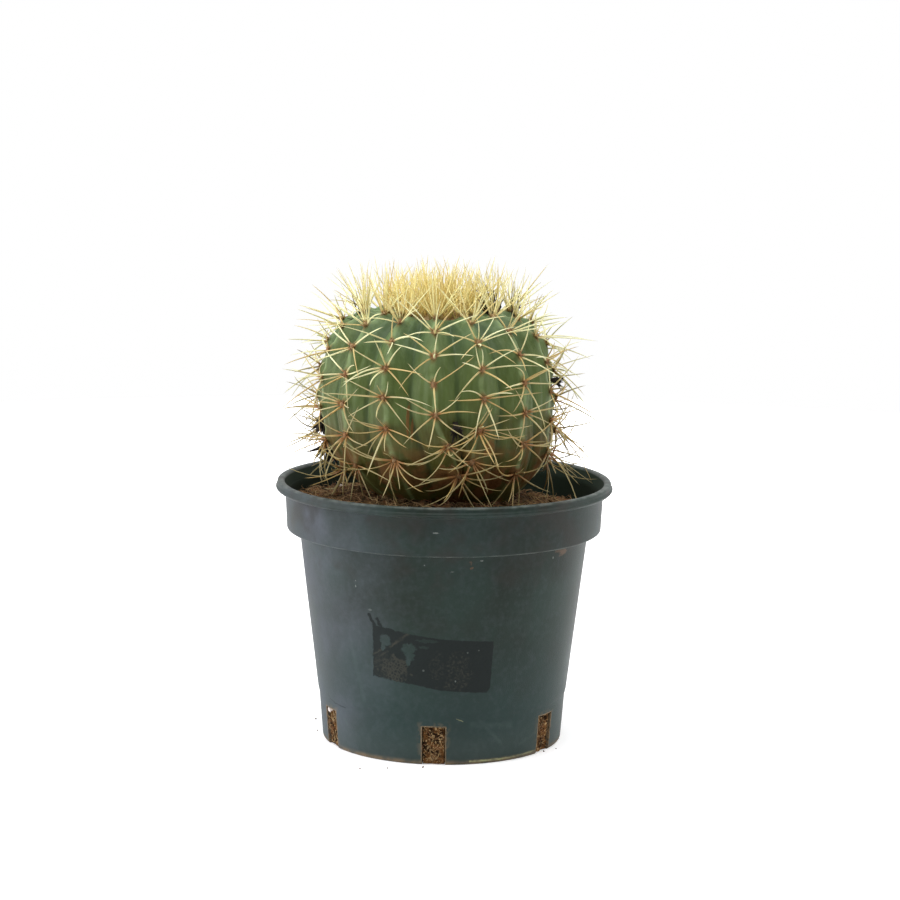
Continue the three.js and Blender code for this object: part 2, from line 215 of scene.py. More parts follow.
def finish_piece(piece, material, slot, *nodes):
    """Gives a piece its material and its body, and hides the plain nodes that it stands for. Its slot is not
    used.
    """
    piece.data.materials.clear()
    piece.data.materials.append(material)
    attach(piece, "root")
    if nodes:
        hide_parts(*nodes)
    triangles = sum(len(face.vertices) - 2 for face in piece.data.polygons)
    print(f"{piece.name}: {triangles} triangles")


# %% Noise, slopes and circles
def noise_at(points, size, seed):
    """Smooth noise from -1 to 1 at each point, with lumps of about the given size."""
    shift = Vector((17.3, 5.1, 9.7)) * seed
    values = [noise.noise(Vector(point) / size + shift) for point in points.reshape(-1, 3)]
    return np.array(values).reshape(points.shape[:-1])


def smooth_rise(low, high, value):
    """Rises smoothly from 0 to 1 as the value goes from low to high."""
    share = np.clip((value - low) / (high - low), 0, 1)
    return share * share * (3 - 2 * share)


def around(turn, radius, height):
    """Points at angles round the Z axis, counted from the front towards +X."""
    turn, radius, height = np.broadcast_arrays(turn, radius, height)
    return np.stack([radius * np.sin(turn), -radius * np.cos(turn), height], axis=-1)


print("a quarter turn from the front lies at", around(math.pi / 2, 10, 0).round(1).tolist())

# %% [markdown]
# ## Tools for materials
# Real surfaces are never one colour. Each material here is a small network of nodes, and the effects that
# several materials share are node groups with named inputs, like tools in a box. Two short classes keep the
# making of nodes readable. The first places a node, sets it up and plugs its inputs in one call.

# %% Placing nodes
class Placer:
    """Places nodes in a node tree. Inputs are sockets of other nodes or plain values."""

    def __init__(self, tree):
        self.tree = tree

    def node(self, kind, inputs, **settings):
        node = self.tree.nodes.new(kind)
        for name, value in settings.items():
            setattr(node, name, value)
        for name, value in inputs.items():
            self.plug(node.inputs[name], value)
        return node

    def plug(self, socket, value):
        if isinstance(value, bpy.types.NodeSocket):
            self.tree.links.new(value, socket)
        else:
            socket.default_value = value

    def use(self, group, **inputs):
        """Places a node group, with its inputs named in words joined by underscores."""
        node = self.tree.nodes.new("ShaderNodeGroup")
        node.node_tree = group
        for name, value in inputs.items():
            self.plug(node.inputs[name.replace("_", " ").capitalize()], value)
        return node.outputs[0]

    def attribute(self, name):
        node = self.node("ShaderNodeAttribute", {}, attribute_name=name, attribute_type="GEOMETRY")
        return node.outputs["Fac"]

    def place(self):
        """The point on the object, in millimetres."""
        point = self.node("ShaderNodeTexCoord", {}).outputs["Object"]
        return self.node("ShaderNodeVectorMath", {0: point, "Scale": 1 / MM}, operation="SCALE").outputs[0]

    def seen_by_camera(self):
        return self.node("ShaderNodeLightPath", {}).outputs["Is Camera Ray"]


# %% [markdown]
# A network adds short words for what materials do most: sums, the parts of a point, fine noise, a fade from
# one value to another, a mix of two colours, and a bump.

# %% Sums, points and colours
class Network(Placer):
    """Sums and other small steps. Each one returns the socket with its result."""

    def math(self, operation, first, second=0.0, third=0.0):
        return self.node("ShaderNodeMath", {0: first, 1: second, 2: third}, operation=operation).outputs[0]

    def plus(self, first, second):
        return self.math("ADD", first, second)

    def minus(self, first, second):
        return self.math("SUBTRACT", first, second)

    def times(self, first, second):
        return self.math("MULTIPLY", first, second)

    def times_plus(self, first, second, extra):
        return self.math("MULTIPLY_ADD", first, second, extra)

    def larger(self, first, second):
        return self.math("MAXIMUM", first, second)

    def parts(self, point):
        """The three numbers of a point."""
        return self.node("ShaderNodeSeparateXYZ", {0: point}).outputs

    def turn(self, parts):
        """The turn round the Z axis, counted from the front towards +X."""
        return self.math("ARCTAN2", parts[0], self.times(parts[1], -1.0))

    def off_axis(self, parts):
        """The distance from the Z axis."""
        squares = self.times_plus(parts[1], parts[1], self.times(parts[0], parts[0]))
        return self.math("SQRT", squares)

    def cloud(self, point, scale, detail, output="Fac"):
        """Fine noise. A higher scale gives smaller lumps."""
        inputs = {"Vector": point, "Scale": scale, "Detail": detail}
        return self.node("ShaderNodeTexNoise", inputs).outputs[output]

    def fade(self, value, low, high, low_value=0.0, high_value=1.0):
        """Turns a value from low to high smoothly into low_value to high_value."""
        inputs = {"Value": value, "From Min": low, "From Max": high}
        inputs |= {"To Min": low_value, "To Max": high_value}
        return self.node("ShaderNodeMapRange", inputs, interpolation_type="SMOOTHSTEP").outputs["Result"]

    def mix(self, share, first, second):
        """A colour between two colours."""
        node = self.node("ShaderNodeMix", {}, data_type="RGBA")
        self.plug(node.inputs[0], share)
        for socket, value in ((node.inputs[6], first), (node.inputs[7], second)):
            self.plug(socket, value if isinstance(value, bpy.types.NodeSocket) else (*value, 1))
        return node.outputs[2]

    def bump(self, height, distance, strength=1.0):
        inputs = {"Height": height, "Distance": distance * MM, "Strength": strength}
        return self.node("ShaderNodeBump", inputs).outputs["Normal"]


# %% Groups and materials
def make_group(name, inputs, output, build):
    """A node group. Inputs are names with default values, and build fills it and returns its result."""
    tree = bpy.data.node_groups.new(name, "ShaderNodeTree")
    for label, default in inputs.items():
        kind = "NodeSocketVector" if default is None else "NodeSocketFloat"
        socket = tree.interface.new_socket(label, in_out="INPUT", socket_type=kind)
        if default is not None:
            socket.default_value = default
    tree.interface.new_socket(output, in_out="OUTPUT", socket_type="NodeSocketFloat")
    source = tree.nodes.new("NodeGroupInput")
    sink = tree.nodes.new("NodeGroupOutput")
    result = build(Network(tree), source.outputs)
    tree.links.new(result, sink.inputs[0])
    return tree


def make_material(name, paint, **constants):
    """A material with one Principled shader. paint gets the network and returns what varies, by socket."""
    material = bpy.data.materials.new(name)
    material.use_nodes = True
    network = Network(material.node_tree)
    shader = material.node_tree.nodes["Principled BSDF"]
    for label, value in constants.items():
        shader.inputs[label.replace("_", " ")].default_value = value
    for label, value in paint(network).items():
        network.plug(shader.inputs[label], value)
    return material


# %% [markdown]
# ### Shared effects
# Blotches are soft clouds of a chosen size: damp and dry soil, fresher and older skin, dust on plastic.
# Specks are small dots scattered at random, made from the cells of a Voronoi texture of which only some are
# used. Streaks are blotches drawn out along the height. A spot is one oval mark at a chosen place, with its
# edge pushed in and out, and a scratch is one thin line between two places, of which parts may be gone.

# %% Blotches, specks and streaks
def build_blotches(net, given):
    scale = net.math("DIVIDE", 1.0, given["Size"])
    inputs = {"Vector": given["Point"], "W": given["Seed"], "Scale": scale, "Detail": 4.0}
    cloud = net.node("ShaderNodeTexNoise", inputs, noise_dimensions="4D").outputs["Fac"]
    return net.fade(cloud, given["Low"], given["High"])


blotches = make_group(
    "Blotches", {"Point": None, "Size": 20.0, "Seed": 0.0, "Low": 0.4, "High": 0.6}, "Mask", build_blotches
)


def build_specks(net, given):
    scale = net.math("DIVIDE", 1.0, given["Spacing"])
    inputs = {"Vector": given["Point"], "W": given["Seed"], "Scale": scale}
    cells = net.node("ShaderNodeTexVoronoi", inputs, voronoi_dimensions="4D")
    split = net.node("ShaderNodeSeparateColor", {"Color": cells.outputs["Color"]})
    used = net.math("LESS_THAN", split.outputs["Red"], given["Share"])
    size = net.times(net.plus(split.outputs["Green"], 0.4), given["Size"])
    reach = net.math("DIVIDE", size, given["Spacing"])
    inner = net.times(reach, 0.6)
    return net.times(used, net.fade(cells.outputs["Distance"], inner, reach, 1.0, 0.0))


specks = make_group(
    "Specks",
    {"Point": None, "Spacing": 5.0, "Size": 0.5, "Share": 0.3, "Seed": 0.0},
    "Mask",
    build_specks,
)


def build_streaks(net, given):
    """Noise squeezed across and drawn out along the height, so it reads as rubbed lines."""
    size = net.node("ShaderNodeCombineXYZ", {0: given["Width"], 1: given["Width"], 2: given["Length"]})
    drawn = net.node("ShaderNodeVectorMath", {0: given["Point"], 1: size.outputs[0]}, operation="DIVIDE")
    inputs = {"Vector": drawn.outputs[0], "W": given["Seed"], "Scale": 1.0, "Detail": 3.0}
    rubbed = net.node("ShaderNodeTexNoise", inputs, noise_dimensions="4D").outputs["Fac"]
    return net.fade(rubbed, given["Low"], given["High"])


streaks = make_group(
    "Streaks",
    {"Point": None, "Width": 2.0, "Length": 30.0, "Seed": 0.0, "Low": 0.45, "High": 0.7},
    "Mask",
    build_streaks,
)


# %% Spots and scratches
# How far from its middle, in half sizes, a spot is still full, and where it is gone
SPOT_FULL = 0.75
SPOT_GONE = 1.1


def build_spot(net, given):
    """An oval mark, whose edge is pushed in and out."""
    parts = net.parts(given["Point"])
    aside = net.math("DIVIDE", net.minus(parts[0], given["Across"]), given["Half width"])
    upward = net.math("DIVIDE", net.minus(parts[1], given["Height"]), given["Half height"])
    far = net.plus(net.times(aside, aside), net.times(upward, upward))
    return net.fade(net.plus(net.math("SQRT", far), given["Push"]), SPOT_FULL, SPOT_GONE, 1.0, 0.0)


spot = make_group(
    "Spot",
    {"Point": None, "Across": 0.0, "Height": 0.0, "Half width": 5.0, "Half height": 5.0, "Push": 0.0},
    "Mask",
    build_spot,
)


def build_scratch(net, given):
    """A thin line from one place to another, of which a share is gone."""
    parts = net.parts(given["Point"])
    run = net.minus(given["To across"], given["From across"])
    rise = net.minus(given["To height"], given["From height"])
    aside = net.minus(parts[0], given["From across"])
    upward = net.minus(parts[1], given["From height"])
    length = net.plus(net.times(run, run), net.times(rise, rise))
    along = net.plus(net.times(aside, run), net.times(upward, rise))
    share = net.math("DIVIDE", along, length)
    kept = net.math("MINIMUM", net.larger(share, 0.0), 1.0)
    off_aside = net.minus(aside, net.times(kept, run))
    off_upward = net.minus(upward, net.times(kept, rise))
    off = net.plus(net.times(off_aside, off_aside), net.times(off_upward, off_upward))
    line = net.fade(net.math("SQRT", off), 0.0, given["Width"], 1.0, 0.0)
    return net.times(line, net.minus(1.0, given["Gone"]))


scratch_inputs = {"Point": None, "From across": 0.0, "From height": 0.0, "To across": 9.0, "To height": 9.0}
scratch = make_group("Scratch", scratch_inputs | {"Width": 0.5, "Gone": 0.0}, "Mask", build_scratch)


# %% [markdown]
# Marks on a round wall are easiest to place on the wall unrolled flat. This group turns a point into the
# arc from the front, measured on a wall of a given radius, and the height. The arc comes out as X and the
# height as Y of a vector, which the spots and scratches take.

# %% The unrolled wall
def build_unrolled():
    tree = bpy.data.node_groups.new("Unrolled", "ShaderNodeTree")
    tree.interface.new_socket("Point", in_out="INPUT", socket_type="NodeSocketVector")
    tree.interface.new_socket("Radius", in_out="INPUT", socket_type="NodeSocketFloat")
    tree.interface.new_socket("Flat point", in_out="OUTPUT", socket_type="NodeSocketVector")
    source = tree.nodes.new("NodeGroupInput")
    sink = tree.nodes.new("NodeGroupOutput")
    net = Network(tree)
    parts = net.parts(source.outputs["Point"])
    arc = net.times(net.turn(parts), source.outputs["Radius"])
    flat = net.node("ShaderNodeCombineXYZ", {0: arc, 1: parts[2]}).outputs[0]
    tree.links.new(flat, sink.inputs[0])
    return tree


unrolled = build_unrolled()
print("node groups:", ", ".join(group.name for group in bpy.data.node_groups))

# %% [markdown]
# ## The pot
# A nursery pot is moulded from thin plastic: a foot ring, a tapered wall, a wider collar that lets pots
# stack, and a rolled lip. Turning one outline round the axis gives all of it. The outline is written with
# sharp corners and a rounding for each, and the helper below cuts every corner with an arc.

# %% The pot's outline
def rounded(corners, steps=4):
    """An outline with an arc in each corner. A corner is a radius, a height and how far its arc reaches."""
    points = []
    count = len(corners)
    for index, (radius, height, reach) in enumerate(corners):
        here = np.array([radius, height])
        if reach == 0 or index in (0, count - 1):
            points.append(here)
            continue
        before = np.array(corners[index - 1][:2]) - here
        after = np.array(corners[index + 1][:2]) - here
        start = here + before * min(0.45, reach / np.linalg.norm(before))
        end = here + after * min(0.45, reach / np.linalg.norm(after))
        for share in np.linspace(0, 1, steps + 1):
            points.append((1 - share) ** 2 * start + 2 * share * (1 - share) * here + share**2 * end)
    return np.array(points)


def divided(outline, longest):
    """The same outline with extra points, so that no stretch is longer than the given length."""
    points = [outline[0]]
    for start, end in zip(outline[:-1], outline[1:]):
        parts = max(1, math.ceil(np.linalg.norm(end - start) / longest))
        points.extend(start + (end - start) * step / parts for step in range(1, parts + 1))
    return np.array(points)


# %% The pot's measures
COLLAR_TOP = 127.3
COLLAR_TOP_RADIUS = 80
COLLAR_BOTTOM = 108
COLLAR_BOTTOM_RADIUS = 79
BODY_TOP_RADIUS = 72.6
LEDGE_HEIGHT = 25
LEDGE_RADIUS = 63.4
FOOT_RADIUS = 61
BULGE = 0.8
LIP_TOP = POT_HEIGHT - 1.1
FOOT_RING_RADIUS = 53
WALL = 1.6
FLOOR_TOP = 4.5
POT_COLUMNS = 216

pot_corners = [
    (0, 2.5, 0),
    (FOOT_RING_RADIUS - 1, 2.5, 0.8),
    (FOOT_RING_RADIUS, 0, 0.8),
    (FOOT_RADIUS, 0, 1.2),
    (LEDGE_RADIUS - 0.5, LEDGE_HEIGHT - 1.5, 1.6),
    (LEDGE_RADIUS + 0.2 * BULGE, LEDGE_HEIGHT + 0.8, 1.6),
    (BODY_TOP_RADIUS + BULGE, COLLAR_BOTTOM - 0.7, 0.5),
    (COLLAR_BOTTOM_RADIUS + BULGE, COLLAR_BOTTOM, 1.0),
    (COLLAR_TOP_RADIUS + BULGE, COLLAR_TOP, 0.7),
    (RIM_RADIUS - 0.4, COLLAR_TOP + 0.6, 1.2),
    (RIM_RADIUS + BULGE, COLLAR_TOP + 2.0, 1.0),
    (RIM_RADIUS - 0.2, COLLAR_TOP + 3.3, 0.4),
    (RIM_RADIUS - 0.3, LIP_TOP - 0.2, 1.2),
    (COLLAR_TOP_RADIUS + 1.6, LIP_TOP, 1.2),
    (COLLAR_TOP_RADIUS, COLLAR_TOP + 2.4, 2.5),
    (COLLAR_TOP_RADIUS - WALL, COLLAR_TOP - 1, 1.5),
    (COLLAR_BOTTOM_RADIUS - WALL, COLLAR_BOTTOM + 1.4, 1.5),
    (BODY_TOP_RADIUS - WALL, COLLAR_BOTTOM + 0.4, 1.0),
    (LEDGE_RADIUS - WALL, LEDGE_HEIGHT + 0.3, 0.6),
    (FOOT_RADIUS - WALL + 0.2, FLOOR_TOP, 1.6),
    (0, FLOOR_TOP, 0),
]
pot_outline = divided(rounded(pot_corners), 7)
print(f"pot outline: {len(pot_outline)} points")

# %% [markdown]
# A plastic pot is never quite round: it warps a little as it cools, and the soil bulges it. Waves of a
# fifth of a millimetre round the wall are enough to bend its reflections.
# The drainage slots are cut with a Boolean, because their sides are flat and pass through wall and floor.

# %% The pot's shell
SLOT_COUNT = 6
SLOT_WIDTH = 11.5
SLOT_HEIGHT = 19.5
SLOT_INNER_RADIUS = 54.7
SLOT_TURN = math.radians(-3.5)
SHARP_ANGLE = math.radians(38)
slot_turns = [SLOT_TURN + index * 2 * math.pi / SLOT_COUNT for index in range(SLOT_COUNT)]


print("slots at", [round(math.degrees(turn), 1) for turn in slot_turns], "degrees")


def pot_points():
    turn = full_turn(POT_COLUMNS)
    radius, height = (column[:, None] for column in pot_outline[1:-1].T)
    above_foot = smooth_rise(20, 80, height)
    warp = 0.13 * np.sin(2 * turn + 0.7) + 0.08 * np.sin(5 * turn + height / 31)
    warp = warp + 0.05 * np.sin(9 * turn - height / 17)
    dip = 0.16 * np.sin(3 * turn + 1.1) * smooth_rise(110, 134, height)
    return around(turn, radius + warp * above_foot, height + dip)


# %% Cutting the slots
def turned_by(turn):
    """The matrix that turns rows of points round the Z axis."""
    cosine = math.cos(turn)
    sine = math.sin(turn)
    return np.array([[cosine, sine, 0], [-sine, cosine, 0], [0, 0, 1]])


def block(size, centre, turn):
    """The corners and faces of a box, set back from the axis and turned round it."""
    signs = np.array([(x, y, z) for x in (-1, 1) for y in (-1, 1) for z in (-1, 1)], float)
    points = (signs * np.array(size) / 2 + np.array(centre)) @ turned_by(turn)
    return points, [[0, 1, 3, 2], [4, 6, 7, 5], [0, 4, 5, 1], [2, 3, 7, 6], [0, 2, 6, 4], [1, 5, 7, 3]]


def cut_away(piece, cutter):
    """Applies a Boolean cut and removes the cutter."""
    modifier = piece.modifiers.new("cut", "BOOLEAN")
    modifier.object = cutter
    modifier.operation = "DIFFERENCE"
    modifier.solver = "EXACT"
    whole = piece.evaluated_get(bpy.context.evaluated_depsgraph_get())
    mesh = bpy.data.meshes.new_from_object(whole)
    piece.modifiers.clear()
    piece.data = mesh
    bpy.data.objects.remove(cutter)


def make_pot():
    rings = pot_points()
    points, faces = ringed(rings, (0, 0, pot_outline[0][1]), (0, 0, pot_outline[-1][1]))
    moulding = make_piece("pot_moulding", points, faces)
    slots = Batch()
    depth = RIM_RADIUS - SLOT_INNER_RADIUS
    for turn in slot_turns:
        centre = (0, -(SLOT_INNER_RADIUS + depth / 2), SLOT_HEIGHT / 2 - 1)
        slots.add(*block((SLOT_WIDTH, depth, SLOT_HEIGHT + 2), centre, turn))
    cut_away(moulding, slots.piece("slots"))
    moulding.data.shade_smooth()
    moulding.data.set_sharp_from_angle(angle=SHARP_ANGLE)
    return moulding


pot = make_pot()
print(f"pot shell: {len(pot.data.polygons)} faces, {SLOT_COUNT} slots")

# %% [markdown]
# ### The pot's plastic
# The plastic is a dark blue-green. Handling has left it dusty, with fine rubbed streaks on the wall, pale
# chips and a few rusty stains. It is greyer towards the left, partly from dust and partly from a painted
# sheen, and the lip has a pale edge that is partly wear and partly a painted highlight.
# On the front a label was torn off. What is left of its glue is a dark patch with ragged holes. It is built
# from three parts with straight edges, nibbled by noise, in the coordinates of the unrolled wall.

# %% The torn patch of glue
WALL_RADIUS = 68.0
# Corners of the parts of the patch, going round clockwise
PATCH = (
    ((-36.8, 44.0), (-35.2, 69.6), (-30.0, 69.9), (-15.5, 67.2), (-15.5, 41.6)),
    ((-16.5, 41.8), (-16.5, 67.4), (-1.0, 65.3), (-1.0, 38.9)),
    ((-2.0, 39.0), (-2.0, 65.4), (25.7, 63.4), (25.2, 39.4), (23.4, 37.0)),
)
# Across, height, half width, half height
TORN_HOLES = (
    (-28.7, 63.2, 3.0, 3.1),
    (-30.0, 59.6, 1.3, 2.2),
    (-16.6, 59.8, 4.0, 2.9),
    (-16.2, 56.0, 2.6, 2.6),
    (-17.0, 53.0, 1.2, 2.2),
)
THIN_PLACES = ((-7.3, 64.1, 5.8, 0.85), (-9.2, 60.9, 2.6, 0.9))
TAIL = ((-36.9, 75.0, -33.4, 68.0), (-32.6, 73.4, -29.8, 68.2))
WRINKLES = (
    (-16.9, 67.3, -26.0, 60.2, 1.3, 0.7),
    (-35.9, 55.0, -28.4, 59.4, 0.9, 0.6),
    (-34.5, 53.0, -27.5, 57.7, 0.8, 0.5),
    (-35.4, 51.3, -29.4, 52.9, 0.8, 0.5),
    (-34.8, 48.8, -30.4, 50.0, 0.8, 0.5),
)
print(f"glue patch: {len(PATCH)} parts, {len(TORN_HOLES)} holes, {len(WRINKLES)} wrinkles")


# %% [markdown]
# A mask is a number from 0 to 1 at every point. For a form with straight edges it is the depth behind the
# nearest edge. Spots and lines come from the node groups above, and the highest of their masks counts.
# Edges look torn when the point itself is pushed about by noise before the mask is made.

# %% Masks of forms
def inside(net, flat, corners, softness):
    """A mask of what lies within a form whose corners go round clockwise."""
    parts = net.parts(flat)
    least = None
    for (from_x, from_y), (to_x, to_y) in zip(corners, corners[1:] + corners[:1]):
        length = math.hypot(to_x - from_x, to_y - from_y)
        normal_x = (to_y - from_y) / length
        normal_y = -(to_x - from_x) / length
        across = net.times_plus(parts[0], normal_x, -(from_x * normal_x + from_y * normal_y))
        depth = net.times_plus(parts[1], normal_y, across)
        least = depth if least is None else net.math("MINIMUM", least, depth)
    return net.fade(least, -softness, softness)


def most(net, masks):
    """The highest of several masks."""
    highest = masks[0]
    for mask in masks[1:]:
        highest = net.larger(highest, mask)
    return highest


# %% Masks of spots and lines
def spots(net, point, places, ragged):
    """Several oval marks with ragged edges; each place may end with the mark's strength."""
    masks = []
    typical = sum(place[3] for place in places) / len(places)
    edge = net.cloud(point, 2.0 / typical, 4.0)
    push = net.times(net.minus(edge, 0.5), ragged)
    for across, height, half_width, half_height, *strength in places:
        size = {"half_width": half_width, "half_height": half_height}
        mask = net.use(spot, point=point, across=across, height=height, push=push, **size)
        masks.append(net.times(mask, strength[0]) if strength else mask)
    return most(net, masks)


def lines(net, point, places, broken):
    """Several scratches broken up by noise; each place has two ends, a width and perhaps a strength."""
    masks = []
    worn = net.cloud(point, 0.22, 3.0)
    gone = net.times(net.fade(worn, 0.35, 0.65, 1.0, 0.0), broken)
    for from_across, from_height, to_across, to_height, width, *strength in places:
        ends = {"from_across": from_across, "from_height": from_height}
        ends |= {"to_across": to_across, "to_height": to_height}
        mask = net.use(scratch, point=point, width=width, gone=gone, **ends)
        masks.append(net.times(mask, strength[0]) if strength else mask)
    return most(net, masks)


def nibbled(net, flat, reach):
    """The same flat point, pushed about by fine noise, which makes edges ragged."""
    wobble = net.cloud(flat, 0.5, 4.0, "Color")
    shift = net.node("ShaderNodeVectorMath", {0: wobble, 1: (0.5, 0.5, 0.5)}, operation="SUBTRACT")
    inputs = {0: shift.outputs[0], 1: (reach, reach, 0), 2: flat}
    return net.node("ShaderNodeVectorMath", inputs, operation="MULTIPLY_ADD").outputs[0]


# %% The patch's mask
def patch_mask(net, flat):
    """Where the glue is: its outline and torn tail, without the holes."""
    torn = nibbled(net, flat, 2.6)
    tail = lines(net, torn, [(*ends, 1.5) for ends in TAIL], 0.0)
    worn_end = nibbled(net, flat, 2.4)
    clean_end = nibbled(net, flat, 0.9)
    held = [inside(net, worn_end, PATCH[0], 0.4)]
    held += [inside(net, clean_end, corners, 0.35) for corners in PATCH[1:]]
    held = most(net, held)
    held = net.larger(held, net.fade(tail, 0.1, 0.7))
    holes = spots(net, torn, TORN_HOLES, 0.8)
    thin = net.times(spots(net, torn, THIN_PLACES, 1.0), 0.6)
    return net.times(held, net.minus(1.0, net.larger(holes, thin)))


# %% [markdown]
# Water carries soil out of the slots, and it dries as a thin pale rim round each of them. All slots are the
# same distance apart, so the turn is folded into one slot's share, and one mask serves all of them.

# %% The mud round the slots
FOOT_WALL_RADIUS = 61.5


def slot_mud_mask(net, point):
    """Rises within a few millimetres of a slot's edges, measured on the foot's wall."""
    parts = net.parts(point)
    spacing = 2 * math.pi / SLOT_COUNT
    swung = net.minus(net.turn(parts), SLOT_TURN - spacing / 2)
    folded = net.minus(net.math("FLOORED_MODULO", swung, spacing), spacing / 2)
    aside = net.minus(net.math("ABSOLUTE", net.times(folded, FOOT_WALL_RADIUS)), SLOT_WIDTH / 2)
    above = net.minus(parts[2], SLOT_HEIGHT)
    off = net.larger(aside, above)
    fine = net.use(blotches, point=point, size=1.1, seed=19.0, low=0.38, high=0.6)
    edge = net.times(net.fade(off, 0.25, 0.8, 1.0, 0.0), net.times_plus(fine, 0.6, 0.3))
    coarse = net.use(blotches, point=point, size=2.6, seed=20.0, low=0.45, high=0.62)
    haze = net.times(net.fade(off, 0.0, 3.4, 0.26, 0.0), coarse)
    return net.larger(edge, haze)


# %% [markdown]
# All the marks come together here, each from a list of places on the unrolled wall. The order matters: dust,
# with a painted sheen on the left, and fine mottling lie on the plastic, the glue covers them, then come
# smudges, rust and chips, and last the haze that splashed water leaves above the foot, the mud, and the
# scratches that go through it.

# %% The plastic's colours
PLASTIC_DEEP = (0.0115, 0.0195, 0.0140)
PLASTIC_LIGHT = (0.0160, 0.0315, 0.0250)
PLASTIC_TEAL = (0.0200, 0.0400, 0.0370)
# Blue-grey of the dust; on the left it also paints a sheen, the reflection of the light on that side
DUST_AND_SHEEN = (0.106, 0.113, 0.138)
PLASTIC_INSIDE = (0.0190, 0.0310, 0.0205)
STAIN = (0.024, 0.022, 0.018)
GLUE = (0.0048, 0.0086, 0.0080)
GLUE_GRIT = (0.046, 0.043, 0.031)
MUD = (0.30, 0.20, 0.11)
WORN_AND_HIGHLIGHT = (0.20, 0.22, 0.20)
SCRAPED = (0.46, 0.46, 0.22)
SMUDGE = (0.075, 0.105, 0.098)
RUST = (0.120, 0.070, 0.040)

# %% The marks on the wall
# Places on the unrolled wall. A spot has its middle, its half sizes and perhaps its strength. A line has its
# two ends, its width and perhaps its strength.
CELLS = ((-24.1, 48.6, 7.6, 6.4),)
GRIT = (
    (-2.7, 49.6, 4.0, 9.0, 0.3),
    (8.1, 48.7, 7.6, 10.0, 0.42),
    (-31.5, 50.0, 5.5, 7.0, 0.45),
    (5.0, 41.0, 4.0, 2.0, 0.5),
)
RUST_STAINS = (
    (64.0, 104.6, 3.0, 1.6, 0.7),
    (60.6, 105.6, 3.4, 0.8, 0.5),
    (62.4, 102.9, 2.0, 0.7, 0.4),
    (13.2, 101.4, 0.7, 0.8, 0.6),
    (12.6, 104.0, 0.6, 1.0, 0.4),
)
CHIPS = (
    (-3.1, 120.1, 1.2, 0.4, 0.9),
    (17.5, 104.9, 0.8, 0.4, 0.8),
    (56.5, 102.6, 0.5, 0.6, 0.7),
    (-43.6, 91.6, 0.3, 0.4, 0.6),
    (-43.8, 88.8, 0.35, 0.6, 0.8),
    (-8.4, 102.6, 0.3, 0.4, 0.6),
    (4.2, 99.6, 0.8, 0.25, 0.5),
    (-36.3, 77.7, 1.0, 0.6, 0.35),
    (-9.3, 48.9, 0.6, 0.6, 0.35),
    (6.9, 43.6, 0.4, 0.5, 0.7),
    (12.6, 58.2, 0.5, 0.5, 0.35),
    (18.2, 59.2, 0.4, 0.4, 0.3),
)
SMUDGES = (
    (20.8, 22.3, 34.0, 9.6, 1.8, 0.5),
    (46.5, 7.6, 60.2, 12.6, 1.6, 0.3),
    (16.7, 20.9, 39.4, 18.6, 2.6, 0.4),
    (-63.6, 20.4, -58.4, 14.8, 1.4, 0.5),
    (-50.0, 60.0, -44.0, 30.0, 2.4, 0.3),
)
CRACKS = ((-69.9, 23.8, -59.1, 23.2, 0.5), (-74.0, 25.0, -69.9, 24.2, 0.4))
SCRATCHES = (
    (7.9, 23.8, 11.6, 22.7, 0.35, 0.45),
    (15.9, 1.7, 35.8, 1.5, 0.8, 1.0),
    (35.8, 1.5, 59.8, 2.2, 0.7, 0.6),
)
print(f"marks on the wall: {len(CHIPS)} chips, {len(RUST_STAINS)} rust stains, {len(SMUDGES)} smudges")


# %% Dust and painted sheen on the plastic
def plastic_dust_and_sheen(net, point, parts):
    """The plastic's colour with its dust, a painted sheen on the left and stains, and the masks of its haze,
    rubbed streaks, and dust with sheen.
    """
    height = parts[2]
    cloudy = net.use(blotches, point=point, size=42.0, seed=1.0, low=0.36, high=0.66)
    colour = net.mix(cloudy, PLASTIC_DEEP, PLASTIC_LIGHT)
    colour = net.mix(net.fade(height, 85.0, 15.0, 0.0, 0.8), colour, PLASTIC_TEAL)
    rubbed = net.use(streaks, point=point, width=5.0, length=14.0, seed=2.0, low=0.4, high=0.8)
    hazy = net.use(blotches, point=point, size=26.0, seed=3.0, low=0.35, high=0.75)
    # Painted sheen: the left side is greyed with the dust colour, partly real dust and partly a painted
    # reflection of the left light
    sheen_on_left = net.fade(parts[0], -66.0, -10.0, 0.6, 0.0)
    on_collar = net.fade(height, 107.0, 109.0, 0.0, 0.06)
    on_lip = net.fade(height, COLLAR_TOP - 1.0, COLLAR_TOP + 1.0, 1.0, 0.4)
    dust_and_sheen = net.times(net.plus(sheen_on_left, on_collar), on_lip)
    dust_and_sheen = net.times(dust_and_sheen, net.times_plus(hazy, 0.7, 0.3))
    dust_and_sheen = net.plus(dust_and_sheen, net.times(rubbed, 0.05))
    fine = net.use(specks, point=point, spacing=2.4, size=0.22, share=0.2, seed=4.0)
    dust_and_sheen = net.plus(dust_and_sheen, net.times(fine, 0.16))
    mottled = net.use(blotches, point=point, size=2.4, seed=18.0, low=0.35, high=0.8)
    dust_and_sheen = net.plus(dust_and_sheen, net.times_plus(mottled, 0.1, -0.02))
    colour = net.mix(dust_and_sheen, colour, DUST_AND_SHEEN)
    stained = net.use(blotches, point=point, size=17.0, seed=10.0, low=0.48, high=0.7)
    high_up = net.fade(height, 78.0, 104.0, 0.12, 0.6)
    colour = net.mix(net.times(stained, high_up), colour, STAIN)
    return colour, hazy, rubbed, dust_and_sheen


def inner_side(net, parts):
    """A mask of the pot's inside, from the collar up to the middle of the lip."""
    height = parts[2]
    edge = net.fade(height, COLLAR_TOP - 0.3, COLLAR_TOP + 2.2, 79.2, 81.2)
    within = net.fade(net.minus(net.off_axis(parts), edge), -0.5, 0.1, 1.0, 0.0)
    return net.times(within, net.math("GREATER_THAN", height, COLLAR_BOTTOM + 0.8))


